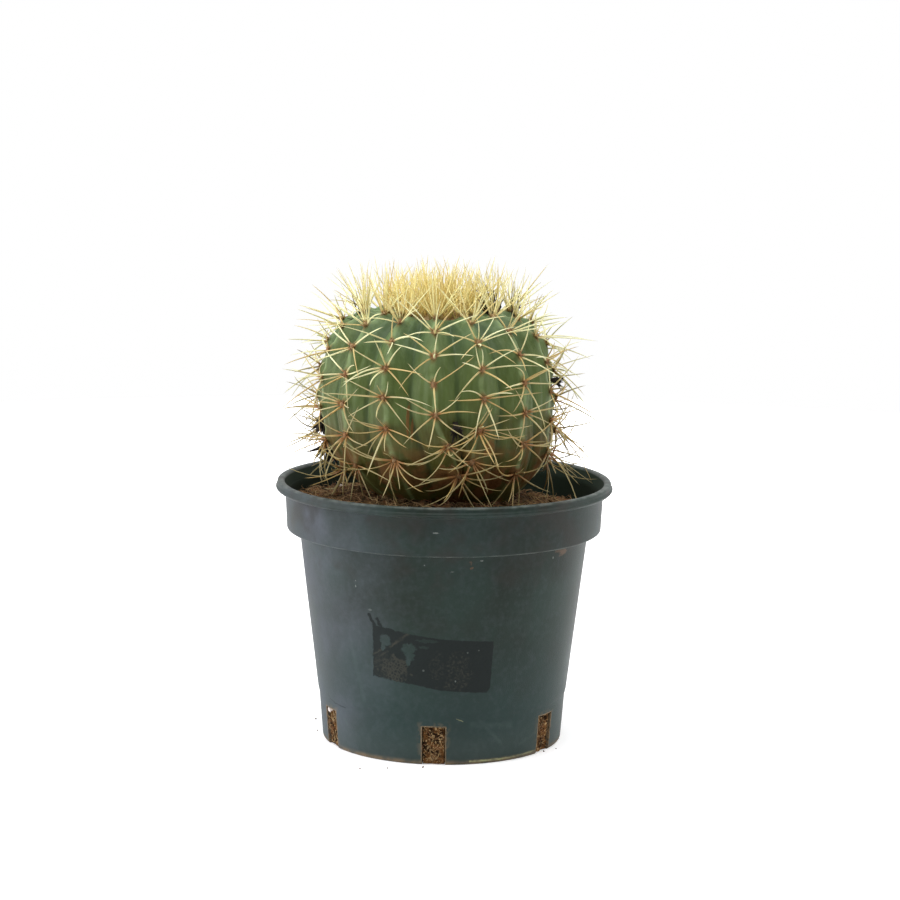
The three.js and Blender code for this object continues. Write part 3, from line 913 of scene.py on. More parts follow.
# %% Glue on the plastic
def with_glue(net, point, flat, colour):
    """The colour with the patch of glue, its torn skin, grit and wrinkles, and the cracks at the foot."""
    torn = {"Vector": nibbled(net, flat, 2.0), "Scale": 0.62}
    cells = net.node("ShaderNodeTexVoronoi", torn, feature="DISTANCE_TO_EDGE").outputs["Distance"]
    rims = net.times(net.fade(cells, 0.02, 0.34, 1.0, 0.0), spots(net, flat, CELLS, 1.8))
    broken = net.use(blotches, point=point, size=1.1, seed=8.0, low=0.42, high=0.72)
    grit = net.times(spots(net, flat, GRIT, 1.6), broken)
    wrinkles = lines(net, nibbled(net, flat, 2.2), WRINKLES, 0.75)
    dots = net.use(specks, point=point, spacing=3.4, size=0.3, share=0.2, seed=6.0)
    light_parts = most(net, [net.times(rims, 0.55), grit, wrinkles, net.times(dots, 0.5)])
    glue = net.times(patch_mask(net, flat), 0.95)
    colour = net.mix(glue, colour, net.mix(light_parts, GLUE, GLUE_GRIT))
    cracked = lines(net, nibbled(net, flat, 0.8), CRACKS, 0.4)
    return net.mix(net.times(cracked, 0.7), colour, GLUE)


# %% Wear on the plastic, and a painted highlight on the lip
def with_wear(net, point, flat, height, colour):
    """The colour with smudges, rust, chips, rubbed edges and a pale lip top that is partly a painted
    highlight, and the mask of uneven wear.
    """
    smudged = lines(net, nibbled(net, flat, 3.0), SMUDGES, 0.6)
    colour = net.mix(net.times(smudged, 0.5), colour, SMUDGE)
    colour = net.mix(spots(net, nibbled(net, flat, 2.0), RUST_STAINS, 2.2), colour, RUST)
    scattered = net.use(specks, point=point, spacing=13.0, size=0.42, share=0.3, seed=9.0)
    chipped = net.larger(spots(net, flat, CHIPS, 2.0), net.times(scattered, 0.45))
    colour = net.mix(net.times(chipped, 0.7), colour, WORN_AND_HIGHLIGHT)
    wear = net.use(blotches, point=point, size=5.0, seed=5.0, low=0.35, high=0.7)
    # Painted highlight: the lip's top edge is paled, partly real wear and partly the light that the edge
    # catches
    lip_wear_and_highlight = net.fade(height, LIP_TOP - 1.4, LIP_TOP - 0.2)
    colour = net.mix(net.times(lip_wear_and_highlight, net.times_plus(wear, 0.32, 0.04)), colour, WORN_AND_HIGHLIGHT)
    from_seam = net.math("ABSOLUTE", net.minus(height, COLLAR_BOTTOM - 0.4))
    seam = net.fade(from_seam, 0.2, 1.3, 1.0, 0.0)
    colour = net.mix(net.times(seam, net.times(wear, 0.4)), colour, WORN_AND_HIGHLIGHT)
    return colour, wear


# %% The plastic material
def paint_plastic(net):
    point = net.place()
    flat = net.use(unrolled, point=point, radius=WALL_RADIUS)
    parts = net.parts(point)
    height = parts[2]
    colour, hazy, rubbed, dust_and_sheen = plastic_dust_and_sheen(net, point, parts)
    within = inner_side(net, parts)
    colour = net.mix(net.times(within, 0.92), colour, PLASTIC_INSIDE)
    colour = with_glue(net, point, flat, colour)
    colour, wear = with_wear(net, point, flat, height, colour)
    splashed = net.times(net.fade(height, 4.0, 22.0, 0.1, 0.0), net.times_plus(hazy, 0.5, 0.6))
    colour = net.mix(splashed, colour, WORN_AND_HIGHLIGHT)
    at_foot = net.times(net.fade(height, 0.6, 3.2, 1.0, 0.0), net.times_plus(wear, 0.5, 0.25))
    mud = net.larger(slot_mud_mask(net, point), at_foot)
    colour = net.mix(net.times(mud, 0.8), colour, MUD)
    scraped = lines(net, nibbled(net, flat, 1.0), SCRATCHES, 0.75)
    colour = net.mix(net.times(scraped, 0.85), colour, SCRAPED)
    uneven = net.cloud(point, 1.6, 4.0)
    relief = net.times_plus(rubbed, 0.15, uneven)
    relief = net.times_plus(scraped, -0.8, net.times_plus(mud, 2.0, relief))
    rough = net.times_plus(dust_and_sheen, 0.35, net.times_plus(mud, 0.4, 0.36))
    rough = net.larger(net.times_plus(uneven, 0.12, rough), within)
    return {"Base Color": colour, "Roughness": rough, "Normal": net.bump(relief, 0.12, 0.6)}


plastic = make_material("pot_plastic", paint_plastic, Specular_IOR_Level=0.16)
finish_piece(pot, plastic, "pot_plastic", "pot")

# %% [markdown]
# ## The plant's outline
# A cactus stem is easiest to describe on its own skin. One number is the turn round the stem, and the other
# is the distance from the crown, walked along the ridge of a rib. The outline of a ridge is a smooth curve
# through a few points. Below, it is walked in even steps, so any distance can be looked up.

# %% The ridge
BODY_CENTRE_X = -4.6
LEAN_HEIGHT = 170
LEAN = 0.1
RIBS = 15
RIB_DEPTH = 7
FRONT_RIB_TURN = math.radians(-1)
RIDGE_POINTS = np.array(
    [
        (0, 103),
        (13, 105),
        (24, 112),
        (33, 123),
        (43, 132),
        (52, 142),
        (57.6, 154),
        (59.3, 168),
        (59.2, 181),
        (57.2, 194),
        (52.4, 206),
        (44, 214.8),
        (34, 218),
        (25, 216.6),
        (13, 213.2),
        (0, 212),
    ]
)


print(f"{len(RIDGE_POINTS)} points on a ridge, {RIBS} ribs")


# %% Walking along the ridge
def smooth_curve(points, count):
    """A Catmull-Rom curve through the points."""
    padded = np.vstack([points[:1], points, points[-1:]])
    place = np.linspace(0, len(points) - 1, count)
    segment = np.minimum(place.astype(int), len(points) - 2)
    share = (place - segment)[:, None]
    before, start, end, after = (padded[segment + offset] for offset in range(4))
    leave = (end - before) / 2
    arrive = (after - start) / 2
    cubic = (2 * start - 2 * end + leave + arrive) * share**3
    return cubic + (-3 * start + 3 * end - 2 * leave - arrive) * share**2 + leave * share + start


ridge = smooth_curve(RIDGE_POINTS, 3000)
walked = np.concatenate([[0], np.cumsum(np.linalg.norm(np.diff(ridge, axis=0), axis=1))])
RIDGE_LENGTH = walked[-1]
ridge_along = unit(np.gradient(ridge, axis=0))


def on_ridge(distance, column, table=ridge):
    return np.interp(RIDGE_LENGTH - distance, walked, table[:, column])


def axis_x(height):
    """The stem's middle line leans a little as it comes out of the soil."""
    return BODY_CENTRE_X + LEAN * np.maximum(0, LEAN_HEIGHT - height)


print(f"ridge: {RIDGE_LENGTH:.1f} mm from the crown to the root")

# %% [markdown]
# Spines grow only from areoles, small felted cushions that sit on the ridges. They follow each other at
# steps that grow with age, and neighbouring ribs are staggered by half a step. Between two areoles the ridge
# swings a little from side to side, and it swells under each of them.

# %% Areoles on the ribs
FIRST_AREOLE = 26
LAST_AREOLE = 128
AREOLES_PER_RIB = 9
AREOLE_STEP = 10.8
AREOLE_STEP_GROWTH = 0.42
# Some ribs at the front grew a little slower or faster than the others
RIB_SHIFT = {-3: -4.5, -2: -2, 2: 1}
print(f"areoles from {FIRST_AREOLE} to {LAST_AREOLE} mm from the crown")


# %% Turns and ribs
def rib_turn(rib):
    """The turn at which a rib's ridge stands."""
    return FRONT_RIB_TURN + rib * 2 * np.pi / RIBS


def in_ribs(turn):
    """A turn counted in ribs from the front rib; the inverse of rib_turn."""
    return (turn - FRONT_RIB_TURN) / (2 * np.pi) * RIBS


def rib_values(function):
    """A value for every rib, in the order in which they go round from the front rib."""
    return np.array([function(rib if rib <= RIBS // 2 else rib - RIBS) for rib in range(RIBS)])


half_steps = rib_values(lambda rib: 0.5 * (abs(rib) % 2))
shifts = rib_values(lambda rib: RIB_SHIFT.get(rib, 0))
print("half steps of the ribs:", half_steps.tolist())


# %% Distances of the areoles
def areole_distance(step):
    return FIRST_AREOLE + AREOLE_STEP * step + AREOLE_STEP_GROWTH * step * step


def areole_step(distance):
    """How many steps a distance from the crown is; the inverse of areole_distance."""
    above = np.maximum(distance - FIRST_AREOLE, -60)
    inner = AREOLE_STEP**2 + 4 * AREOLE_STEP_GROWTH * above
    return (-AREOLE_STEP + np.sqrt(inner)) / (2 * AREOLE_STEP_GROWTH)


def rib_areoles(rib):
    """Distances from the crown of the areoles on one rib."""
    distances = areole_distance(np.arange(AREOLES_PER_RIB) + half_steps[rib]) + shifts[rib]
    return distances[distances < LAST_AREOLE]


areoles = [(rib, distance) for rib in range(RIBS) for distance in rib_areoles(rib)]
print(f"{len(areoles)} areoles on {RIBS} ribs")

# %% [markdown]
# The furrows are deepest on the upper half, and wide open there. Lower down they have filled out, and they
# fade away towards the root. Two ribs at the front have leant together near the soil. With that, every point
# of the skin follows from its turn and its distance.

# %% Furrows and leaning ribs
OPEN_FURROWS = 0.65
MERGE_LEFT = 0.45
MERGE_RIGHT = -0.35


def furrow_depth(distance):
    opened = smooth_rise(23, 42, distance)
    swollen = 1 - 0.42 * smooth_rise(50, 98, distance)
    root = 1 - smooth_rise(112, 142, distance)
    return RIB_DEPTH * opened * swollen * root


def furrows_open(distance):
    """Near the top the ribs are still narrow, with wide furrows; lower down they have filled out."""
    return smooth_rise(24, 40, distance) * (1 - smooth_rise(62, 96, distance))


def settled(turn, distance):
    """Turns of the skin after two ribs at the front have leant together below."""
    ribs = np.mod(in_ribs(turn) + RIBS / 2, RIBS) - RIBS / 2
    lean = np.interp(ribs, [-1.5, 0, 1, 2.5], [0, MERGE_LEFT, MERGE_RIGHT, 0])
    return turn + lean * smooth_rise(82, 126, distance) * 2 * np.pi / RIBS


print(f"furrow depth: {furrow_depth(45):.1f} mm near the top, {furrow_depth(100):.1f} mm low down")


# %% Points of the skin
AREOLE_HALF_LENGTH = 6
AREOLE_RISE = 1.3
RIDGE_SWING = 0.07
# Where a rib has no further areole, the next one is taken to be this far away
NO_AREOLE = 400


def skin(turn, distance):
    """Points of the skin, the ridge's outward directions, and values that the material needs."""
    turn, distance = np.broadcast_arrays(np.asarray(turn, float), np.asarray(distance, float))
    ribs = in_ribs(turn)
    nearest = np.round(ribs)
    rib = np.mod(nearest, RIBS).astype(int)
    phase = areole_step(distance - shifts[rib]) - half_steps[rib]
    swing = RIDGE_SWING * np.sin(np.pi * phase) * smooth_rise(30, 50, distance)
    side = 2 * (ribs - nearest)
    across = np.abs(side - swing * (1 - side**2))
    step = np.clip(np.round(phase), 0, None)
    areole = areole_distance(step + half_steps[rib]) + shifts[rib]
    areole = np.where(areole > LAST_AREOLE, NO_AREOLE, areole)
    apart = areole - distance
    swell = np.cos(np.minimum(1, np.abs(apart) / AREOLE_HALF_LENGTH) * np.pi / 2)
    narrow = np.maximum(0, 1 - 3 * across)
    # A small notch crosses the ridge just above each areole
    notch = 0.5 * np.exp(-(((apart - 4.6) / 1.3) ** 2)) * np.maximum(0, 1 - 2 * across)
    section = 0.35 * across + 0.65 * (1 - np.sqrt(1 - np.minimum(1, across**2)))
    open_furrow = 0.5 - 0.5 * np.cos(np.pi * np.minimum(1, across))
    section = section + OPEN_FURROWS * furrows_open(distance) * (open_furrow - section)
    pushed = AREOLE_RISE * swell * narrow - notch - furrow_depth(distance) * section
    outward_radius = on_ridge(distance, 1, ridge_along)
    outward_height = -on_ridge(distance, 0, ridge_along)
    height = on_ridge(distance, 1) + pushed * outward_height
    radius = np.maximum(0, on_ridge(distance, 0) + pushed * outward_radius)
    placed = settled(turn, distance)
    points = around(placed, radius, height)
    points[..., 0] += axis_x(on_ridge(distance, 1))
    return points, around(placed, outward_radius, outward_height), across, swell * narrow


sample, _, _, _ = skin(FRONT_RIB_TURN, FIRST_AREOLE)
print("the front rib's first areole:", sample.round(1).tolist())

# %% [markdown]
# ## The stem
# The skin is a grid: 24 columns for each rib, and a row every 0.9 mm where it shows. Plain formulas look too
# clean, so noise adds slow lumps, and the flanks get shallow upright folds like those of a plant that has
# shrunk a little between waterings. The grid carries three values for the material: how far a point is from
# the ridge, its age, and how near it is to an areole.

# %% The stem's mesh
COLUMNS_PER_RIB = 24
# The distance from the crown where the plant counts as old
OLD_DISTANCE = 130


def stem_rows():
    """Distances from the crown, from the buried root up to the crown."""
    top = np.linspace(1.5, 22, 8)
    shown = np.arange(22.9, 148, 0.9)
    root = np.linspace(151, RIDGE_LENGTH - 2, 9)
    return np.concatenate([top, shown, root])[::-1]


def with_ends(values, first, last):
    """Values of a grid in one row, with those of the two closing points."""
    return np.concatenate([[first], values.reshape(-1), [last]])


def make_stem():
    turn = FRONT_RIB_TURN + full_turn(RIBS * COLUMNS_PER_RIB)
    distance = stem_rows()[:, None]
    points, outward, across, near = skin(turn[None, :], distance)
    lumps = 0.45 * noise_at(points, 17, 1) + 0.16 * noise_at(points, 5, 2)
    waves = np.sin(turn[None, :] * RIBS * 5 + 1.3 * np.sin(distance / 13))
    on_flank = np.sin(np.pi * np.clip(across, 0, 1)) ** 2
    shown = smooth_rise(24, 34, distance) * (1 - smooth_rise(112, 135, distance))
    push = lumps * smooth_rise(14, 30, distance) + 0.3 * waves * on_flank * shown
    points = points + push[..., None] * outward
    start = np.array([axis_x(RIDGE_POINTS[0][1]), 0, RIDGE_POINTS[0][1]])
    end = np.array([BODY_CENTRE_X, 0, RIDGE_POINTS[-1][1]])
    mesh_points, faces = ringed(points, start, end)
    age = np.broadcast_to(distance / OLD_DISTANCE, across.shape)
    values = {"across": with_ends(across, 0, 0), "age": with_ends(age, 1.4, 0), "near": with_ends(near, 0, 0)}
    return make_piece("cactus_stem", mesh_points, faces, **values)


stem = make_stem()
print(f"stem: {len(stem_rows())} rows, {RIBS * COLUMNS_PER_RIB} columns")

# %% [markdown]
# ### The stem's skin
# The skin is a waxy mid green, greyer near the crown. There it is young: its crests still have their bloom,
# brightened by a painted highlight, and its flanks are darkened by painted shade. A pale line runs along each
# ridge, partly a painted highlight, the furrows are darkened by painted shade, and below, where the plant is
# oldest, the green turns olive and then corky brown. Rust creeps out from the areoles, and a few old wounds
# have healed as rusty scars. The wax is dull, so the shader's specular level is low.

# %% The skin's colours and scars
SKIN_YOUNG = (0.069, 0.116, 0.041)
SKIN_MID = (0.079, 0.113, 0.029)
SKIN_OLD = (0.066, 0.062, 0.009)
# Colour of the bloom, also used for a painted highlight on the young crests
SKIN_BLOOM_AND_HIGHLIGHT = (0.155, 0.22, 0.096)
# Colour of pale lines on the skin, also used for the painted highlight along the ridges
SKIN_PALE_LINE_AND_HIGHLIGHT = (0.225, 0.305, 0.125)
# Colour of the painted shade in the furrows and on the young flanks
SKIN_FURROW_SHADE = (0.030, 0.056, 0.024)
CORK = (0.165, 0.074, 0.021)
SKIN_RADIUS = 59.0

# Across the unrolled skin, height, half width, half height
SCARS = (
    (-18.6, 170.0, 0.8, 8.0),
    (-16.6, 166.0, 0.6, 6.0),
    (-16.7, 139.5, 7.0, 5.0),
    (2.0, 143.0, 9.0, 6.0),
    (24.4, 157.0, 4.0, 4.0),
    (44.5, 141.0, 7.0, 5.0),
    (-60.5, 149.0, 6.0, 5.0),
    (-36.0, 140.0, 6.0, 6.0),
)
print(f"{len(SCARS)} scars and brown places on the skin")


# %% The skin material
def paint_skin(net):
    point = net.place()
    across = net.attribute("across")
    age = net.attribute("age")
    near = net.attribute("near")
    flat = net.use(unrolled, point=point, radius=SKIN_RADIUS)
    patchy = net.use(blotches, point=point, size=14.0, seed=11.0, low=0.3, high=0.7)
    wandering = net.times_plus(patchy, 0.16, age)
    colour = net.mix(net.fade(wandering, 0.36, 0.62), SKIN_YOUNG, SKIN_MID)
    colour = net.mix(net.fade(wandering, 0.69, 0.95), colour, SKIN_OLD)
    bloom_lines = net.use(streaks, point=point, width=2.2, length=18.0, seed=12.0, low=0.38, high=0.72)
    bloom = net.times(bloom_lines, net.fade(age, 0.3, 0.85, 0.22, 0.08))
    colour = net.mix(bloom, colour, SKIN_BLOOM_AND_HIGHLIGHT)
    fold_lines = net.use(streaks, point=point, width=1.3, length=40.0, seed=16.0, low=0.5, high=0.72)
    colour = net.mix(net.times(fold_lines, 0.11), colour, SKIN_PALE_LINE_AND_HIGHLIGHT)
    # Painted shade: the furrows, and near the crown the flanks, are darkened in the colour
    furrow_shade = net.times(net.fade(across, 0.78, 1.0), 0.45)
    flank_shade = net.times(net.fade(across, 0.35, 0.85), net.fade(age, 0.3, 0.66, 0.5, 0.0))
    colour = net.mix(net.larger(furrow_shade, flank_shade), colour, SKIN_FURROW_SHADE)
    # The young crests are paled: partly real bloom, partly a painted highlight
    crest_bloom_and_highlight = net.times(net.fade(across, 0.12, 0.5, 1.0, 0.0), net.fade(age, 0.3, 0.62, 0.42, 0.0))
    colour = net.mix(crest_bloom_and_highlight, colour, SKIN_BLOOM_AND_HIGHLIGHT)
    edge = net.use(blotches, point=point, size=3.5, seed=13.0, low=0.25, high=0.75)
    # The pale line along each ridge: partly the skin's own, partly a painted highlight on the sharp edge
    ridge_line_and_highlight = net.times(net.fade(across, 0.03, 0.17, 0.62, 0.0), net.times_plus(edge, 0.6, 0.4))
    colour = net.mix(ridge_line_and_highlight, colour, SKIN_PALE_LINE_AND_HIGHLIGHT)
    fine = net.use(specks, point=point, spacing=0.9, size=0.16, share=0.5, seed=14.0)
    colour = net.mix(net.times(fine, 0.15), colour, SKIN_BLOOM_AND_HIGHLIGHT)
    corky = net.use(blotches, point=point, size=9.0, seed=15.0, low=0.46, high=0.60)
    cork = net.times(net.fade(age, 0.74, 1.0), corky)
    cork = net.larger(cork, net.times(spots(net, flat, SCARS, 1.7), 0.8))
    browned = net.times(net.fade(near, 0.35, 0.9), 0.75)
    cork = net.larger(cork, browned)
    colour = net.mix(cork, colour, CORK)
    pores = net.cloud(point, 1.3, 5.0)
    cork_relief = net.cloud(point, 2.6, 4.0)
    relief = net.times_plus(net.times(cork_relief, cork), 2.0, pores)
    rough = net.times_plus(cork, 0.35, net.times_plus(bloom, 0.25, 0.48))
    return {"Base Color": colour, "Roughness": rough, "Normal": net.bump(relief, 0.3, 0.6)}


skin_material = make_material("cactus_skin", paint_skin, Specular_IOR_Level=0.22)
finish_piece(stem, skin_material, "cactus_skin", "cactus")

# %% [markdown]
# ## The areoles' felt
# Each areole is an oval cushion of short wool, grey-brown when old and creamy when young. A low dome pushed
# about by noise gives the pad, and a handful of curved hairs breaks its outline.

# %% Where an areole sits
def areole_frame(rib, distance):
    """The place of an areole, and its outward, sideways and crownward directions."""
    place, outward, _, _ = skin(rib_turn(rib), distance)
    placed = float(settled(rib_turn(rib), distance))
    sideways = np.array([math.cos(placed), math.sin(placed), 0.0])
    return place, unit(outward), sideways, np.cross(unit(outward), sideways)


first_place, first_outward, _, _ = areole_frame(*areoles[0])
print("an areole at", first_place.round(1).tolist(), "faces", first_outward.round(2).tolist())

# %% Felt pads and their hairs
PAD_ROWS = 4
PAD_SIDES = 12
PAD_HALF_WIDTH = 1.35
PAD_HALF_LENGTH = 1.75
HAIRS_PER_PAD = 16


def felt_pad(frame_at, size):
    """A low, lumpy dome."""
    place, outward, sideways, crownward = frame_at
    aside, upward, raised = globe(0.1, 1.25, PAD_ROWS, PAD_SIDES)
    aside = aside * (PAD_HALF_WIDTH * size)
    upward = upward * (PAD_HALF_LENGTH * size)
    raised = raised * 1.1 * size - 0.35
    rings = place + aside[..., None] * sideways + upward[..., None] * crownward
    rings = rings + raised[..., None] * outward
    rings = rings + 0.3 * noise_at(rings, 1.1, 3)[..., None] * outward
    return ringed(rings, place - 0.8 * outward, place + 0.95 * size * outward)


def felt_hairs(frame_at, draw):
    """Short curved hairs that lean away from the pad's middle."""
    place, outward, sideways, crownward = frame_at
    turn = 2 * np.pi * draw.random(HAIRS_PER_PAD)
    reach = np.sqrt(draw.random(HAIRS_PER_PAD))[:, None]
    flat_way = np.cos(turn)[:, None] * sideways + 1.3 * np.sin(turn)[:, None] * crownward
    root = place + 1.1 * reach * flat_way + 0.3 * outward
    length = (1.2 + 1.3 * draw.random(HAIRS_PER_PAD))[:, None]
    lean = flat_way * (0.3 + reach) + outward * 0.9
    share = np.array([0, 0.5, 1])[None, :, None]
    paths = root[:, None] + share * length[:, None] * unit(lean)[:, None] - 0.4 * share**2 * outward
    return tubes(paths, np.broadcast_to([0.1, 0.08, 0.02], (HAIRS_PER_PAD, 3)), 3)


def make_pads():
    draw = np.random.default_rng(5)
    pads = Batch()
    for rib, distance in areoles:
        frame_at = areole_frame(rib, distance)
        age = distance / OLD_DISTANCE
        points, faces = felt_pad(frame_at, 0.85 + 0.3 * draw.random())
        pads.add(points, faces, age=age, along=0.2)
        points, faces, along = felt_hairs(frame_at, draw)
        pads.add(points, faces, age=age, along=along)
    return pads.piece("areole_felt")


# %% The felt's finish
FELT_YOUNG = (0.55, 0.42, 0.22)
FELT_OLD = (0.30, 0.19, 0.095)
FELT_RUSTY = (0.24, 0.095, 0.035)


def paint_felt(net):
    point = net.place()
    colour = net.mix(net.fade(net.attribute("age"), 0.2, 0.5), FELT_YOUNG, FELT_OLD)
    rusty = net.use(blotches, point=point, size=1.6, seed=21.0, low=0.4, high=0.62)
    colour = net.mix(net.times(rusty, 0.7), colour, FELT_RUSTY)
    paler = net.times(net.fade(net.attribute("along"), 0.4, 1.0), 0.5)
    colour = net.mix(paler, colour, FELT_YOUNG)
    wool = net.cloud(point, 4.0, 4.0)
    rough = net.times_plus(wool, 0.2, 0.75)
    return {"Base Color": colour, "Roughness": rough, "Normal": net.bump(wool, 0.25)}


felt_material = make_material("areole_felt", paint_felt, Specular_IOR_Level=0.2)
finish_piece(make_pads(), felt_material, "cactus_skin")

# %% [markdown]
# ## The spines
# About nine stiff spines stand in a fan on each areole: long ones to both sides, which cross the furrows,
# shorter ones upwards, and a longer one in the middle. They bend back towards the skin, so each one is a
# short curved path with a thinning tube round it. Near the crown they are young, steep and golden. Low on the
# stem they are older, browner and more curved: the lower ones lie over the soil, and the tips of those at the
# sides sweep up again.

# %% Fans of spines
SPINE_LENGTH = 25.5
SPINE_RADIUS = 0.52
SPINE_STEPS = 9
SPINE_SIDES = 6
REACH_LIMIT = 87.4
REACH_IN_POT = 77.0
TOP_LIMIT = 245.0
# How far the tips of old side spines sweep up again
SWEEP_UP = 0.34

# Angle round the areole with 90 degrees towards the crown, rise off the skin, length, thickness
SIDE_FAN = (
    (4, 24, 1.12, 1.0),
    (176, 24, 1.12, 1.0),
    (36, 30, 1.0, 0.9),
    (144, 30, 1.0, 0.9),
    (88, 46, 0.7, 0.75),
    (212, 28, 0.92, 0.9),
    (328, 28, 0.92, 0.9),
    (268, 56, 1.12, 1.1),
    (75, 68, 0.95, 0.95),
)
YOUNG_EXTRA = (
    (62, 44, 1.0, 0.7),
    (118, 44, 1.0, 0.7),
    (20, 40, 1.0, 0.7),
    (160, 40, 1.0, 0.7),
    (280, 60, 1.0, 0.9),
)
OLD_EXTRA = ((235, 34, 1.3, 0.85), (308, 46, 1.3, 0.85), (186, 44, 1.2, 0.8), (354, 30, 1.2, 0.8))


print(f"a fan has {len(SIDE_FAN)} spines, with {len(YOUNG_EXTRA)} more when young, {len(OLD_EXTRA)} when old")


def spine_path(frame_at, angle, rise, length, bend, curl, droop):
    """Points of one spine, which leaves its areole at a rise off the skin and bends back towards it."""
    place, outward, sideways, crownward = frame_at
    turn = math.radians(angle)
    steep = math.radians(rise)
    flat_way = math.cos(turn) * sideways + math.sin(turn) * crownward
    way = math.sin(steep) * outward + math.cos(steep) * flat_way
    beside = np.cross(flat_way, outward)
    share = np.linspace(0, 1, SPINE_STEPS)[:, None]
    root = place + 0.9 * flat_way - 0.5 * outward
    swerve = curl * beside - bend * outward - droop * crownward
    return root + length * (share * way + share**2 * swerve)


# %% [markdown]
# A spine must not stick through the pot's wall or into the soil, and it has to stay within the reach of the
# whole part. So the soil's height is needed before the spines, and each spine is shortened until it has room.

# %% Room for the spines
SOIL_LEVEL = 120.2


def soil_height(x, y):
    """The soil's height without its fine relief: it slopes a little, and heaps against the plant."""
    from_plant = np.hypot(x - axis_x(SOIL_LEVEL), y)
    heap = 5 * np.exp(-(((from_plant - 30) / 26) ** 2))
    clods = 0.7 * np.sin(x * 0.31 + 1.7) * np.cos(y * 0.27) + 0.5 * np.sin(x * 0.83 - y * 0.71)
    return SOIL_LEVEL - 0.042 * x - 0.055 * y + heap + clods


def kept_in_reach(path):
    """Shortens a spine until its tip is clear of the soil, the pot's wall and the rim's reach."""
    root = path[0]
    for share in (1.0, 0.93, 0.86, 0.8, 0.7, 0.6, 0.5):
        shorter = root + (path - root) * share
        radius = np.hypot(shorter[:, 0], shorter[:, 1])
        limit = np.where(shorter[:, 2] < POT_HEIGHT + 1, REACH_IN_POT, REACH_LIMIT)
        above = shorter[2:, 2] > soil_height(shorter[2:, 0], shorter[2:, 1]) + 0.6
        if (radius < limit).all() and above.all() and shorter[-1, 2] < TOP_LIMIT:
            return shorter
    return None


print(f"soil height in front: {soil_height(0, -65):.1f} mm")


# %% The spines on the ribs
def rib_spine_paths():
    """Paths, ages and widths of all spines. Most are drawn; some have broken off or found no room."""
    draw = np.random.default_rng(11)
    paths = []
    ages = []
    widths = []
    for rib, distance in areoles:
        frame_at = areole_frame(rib, distance)
        youth = 1 - smooth_rise(28, 62, distance)
        oldness = smooth_rise(86, 116, distance)
        fan = list(SIDE_FAN)
        fan += list(YOUNG_EXTRA) if youth > 0.35 else []
        fan += list(OLD_EXTRA) if oldness > 0.3 else []
        for angle, rise, length, width in fan:
            if draw.random() < (0.5 if 60 < angle < 100 else 0.14):
                continue
            angle = angle + draw.normal(0, 16 if rise > 50 else 9)
            sideward = math.cos(math.radians(angle))
            angle = angle - 13 * oldness * sideward
            rise = 5 + rise + draw.normal(0, 8 + 5 * oldness) + 28 * youth * (1 if angle < 200 else 0.75)
            length = SPINE_LENGTH * length * (0.78 + 0.32 * draw.random())
            bend = (0.05 + 0.38 * draw.random()) * (1 - 0.75 * youth) * (0.35 if rise > 50 else 1)
            curl = draw.normal(0, 0.11 + 0.14 * oldness)
            droop = draw.normal(0.07, 0.07 + 0.07 * oldness) * (1 - youth)
            droop = droop - SWEEP_UP * oldness * abs(sideward)
            path = kept_in_reach(spine_path(frame_at, angle, min(rise, 84), length, bend, curl, droop))
            if path is not None:
                paths.append(path)
                ages.append(distance / OLD_DISTANCE)
                widths.append(SPINE_RADIUS * width * (0.85 + 0.3 * draw.random()) * (1 - 0.25 * youth))
    return np.array(paths), np.array(ages), np.array(widths)


# %% From paths to spines
def spine_radii(widths, steps):
    """Stout for half their length, then thinning evenly to the tip."""
    share = np.linspace(0, 1, steps)
    taper = np.interp(share, [0, 0.06, 0.5, 0.88, 1], [0.8, 0.88, 0.66, 0.34, 0.06])
    return widths[:, None] * taper


def make_spines(name, paths, ages, widths, draw, sides=SPINE_SIDES):
    points, faces, along = tubes(paths, spine_radii(widths, paths.shape[1]), sides)
    per_spine = len(points) // len(paths)
    age = np.repeat(ages, per_spine)
    tone = np.repeat(draw.random(len(paths)), per_spine)
    return make_piece(name, points, faces, along=along, age=age, tone=tone)


paths, ages, widths = rib_spine_paths()
rib_spines = make_spines("rib_spines", paths, ages, widths, np.random.default_rng(12))
print(f"{len(paths)} spines on the ribs")

# %% [markdown]
# ### The spines' finish
# A spine is red-brown where it leaves the felt, straw-coloured for most of its length and slightly darker at
# the very tip. On old spines the brown reaches further out. They are a little glossy, with faint rings.

# %% The spine material
STRAW = (0.67, 0.635, 0.29)
STRAW_PALE = (0.81, 0.81, 0.48)
GOLD = (0.85, 0.715, 0.27)
OLD_STRAW = (0.29, 0.215, 0.072)
OCHRE = (0.53, 0.33, 0.095)
SPINE_ROOT = (0.32, 0.12, 0.035)


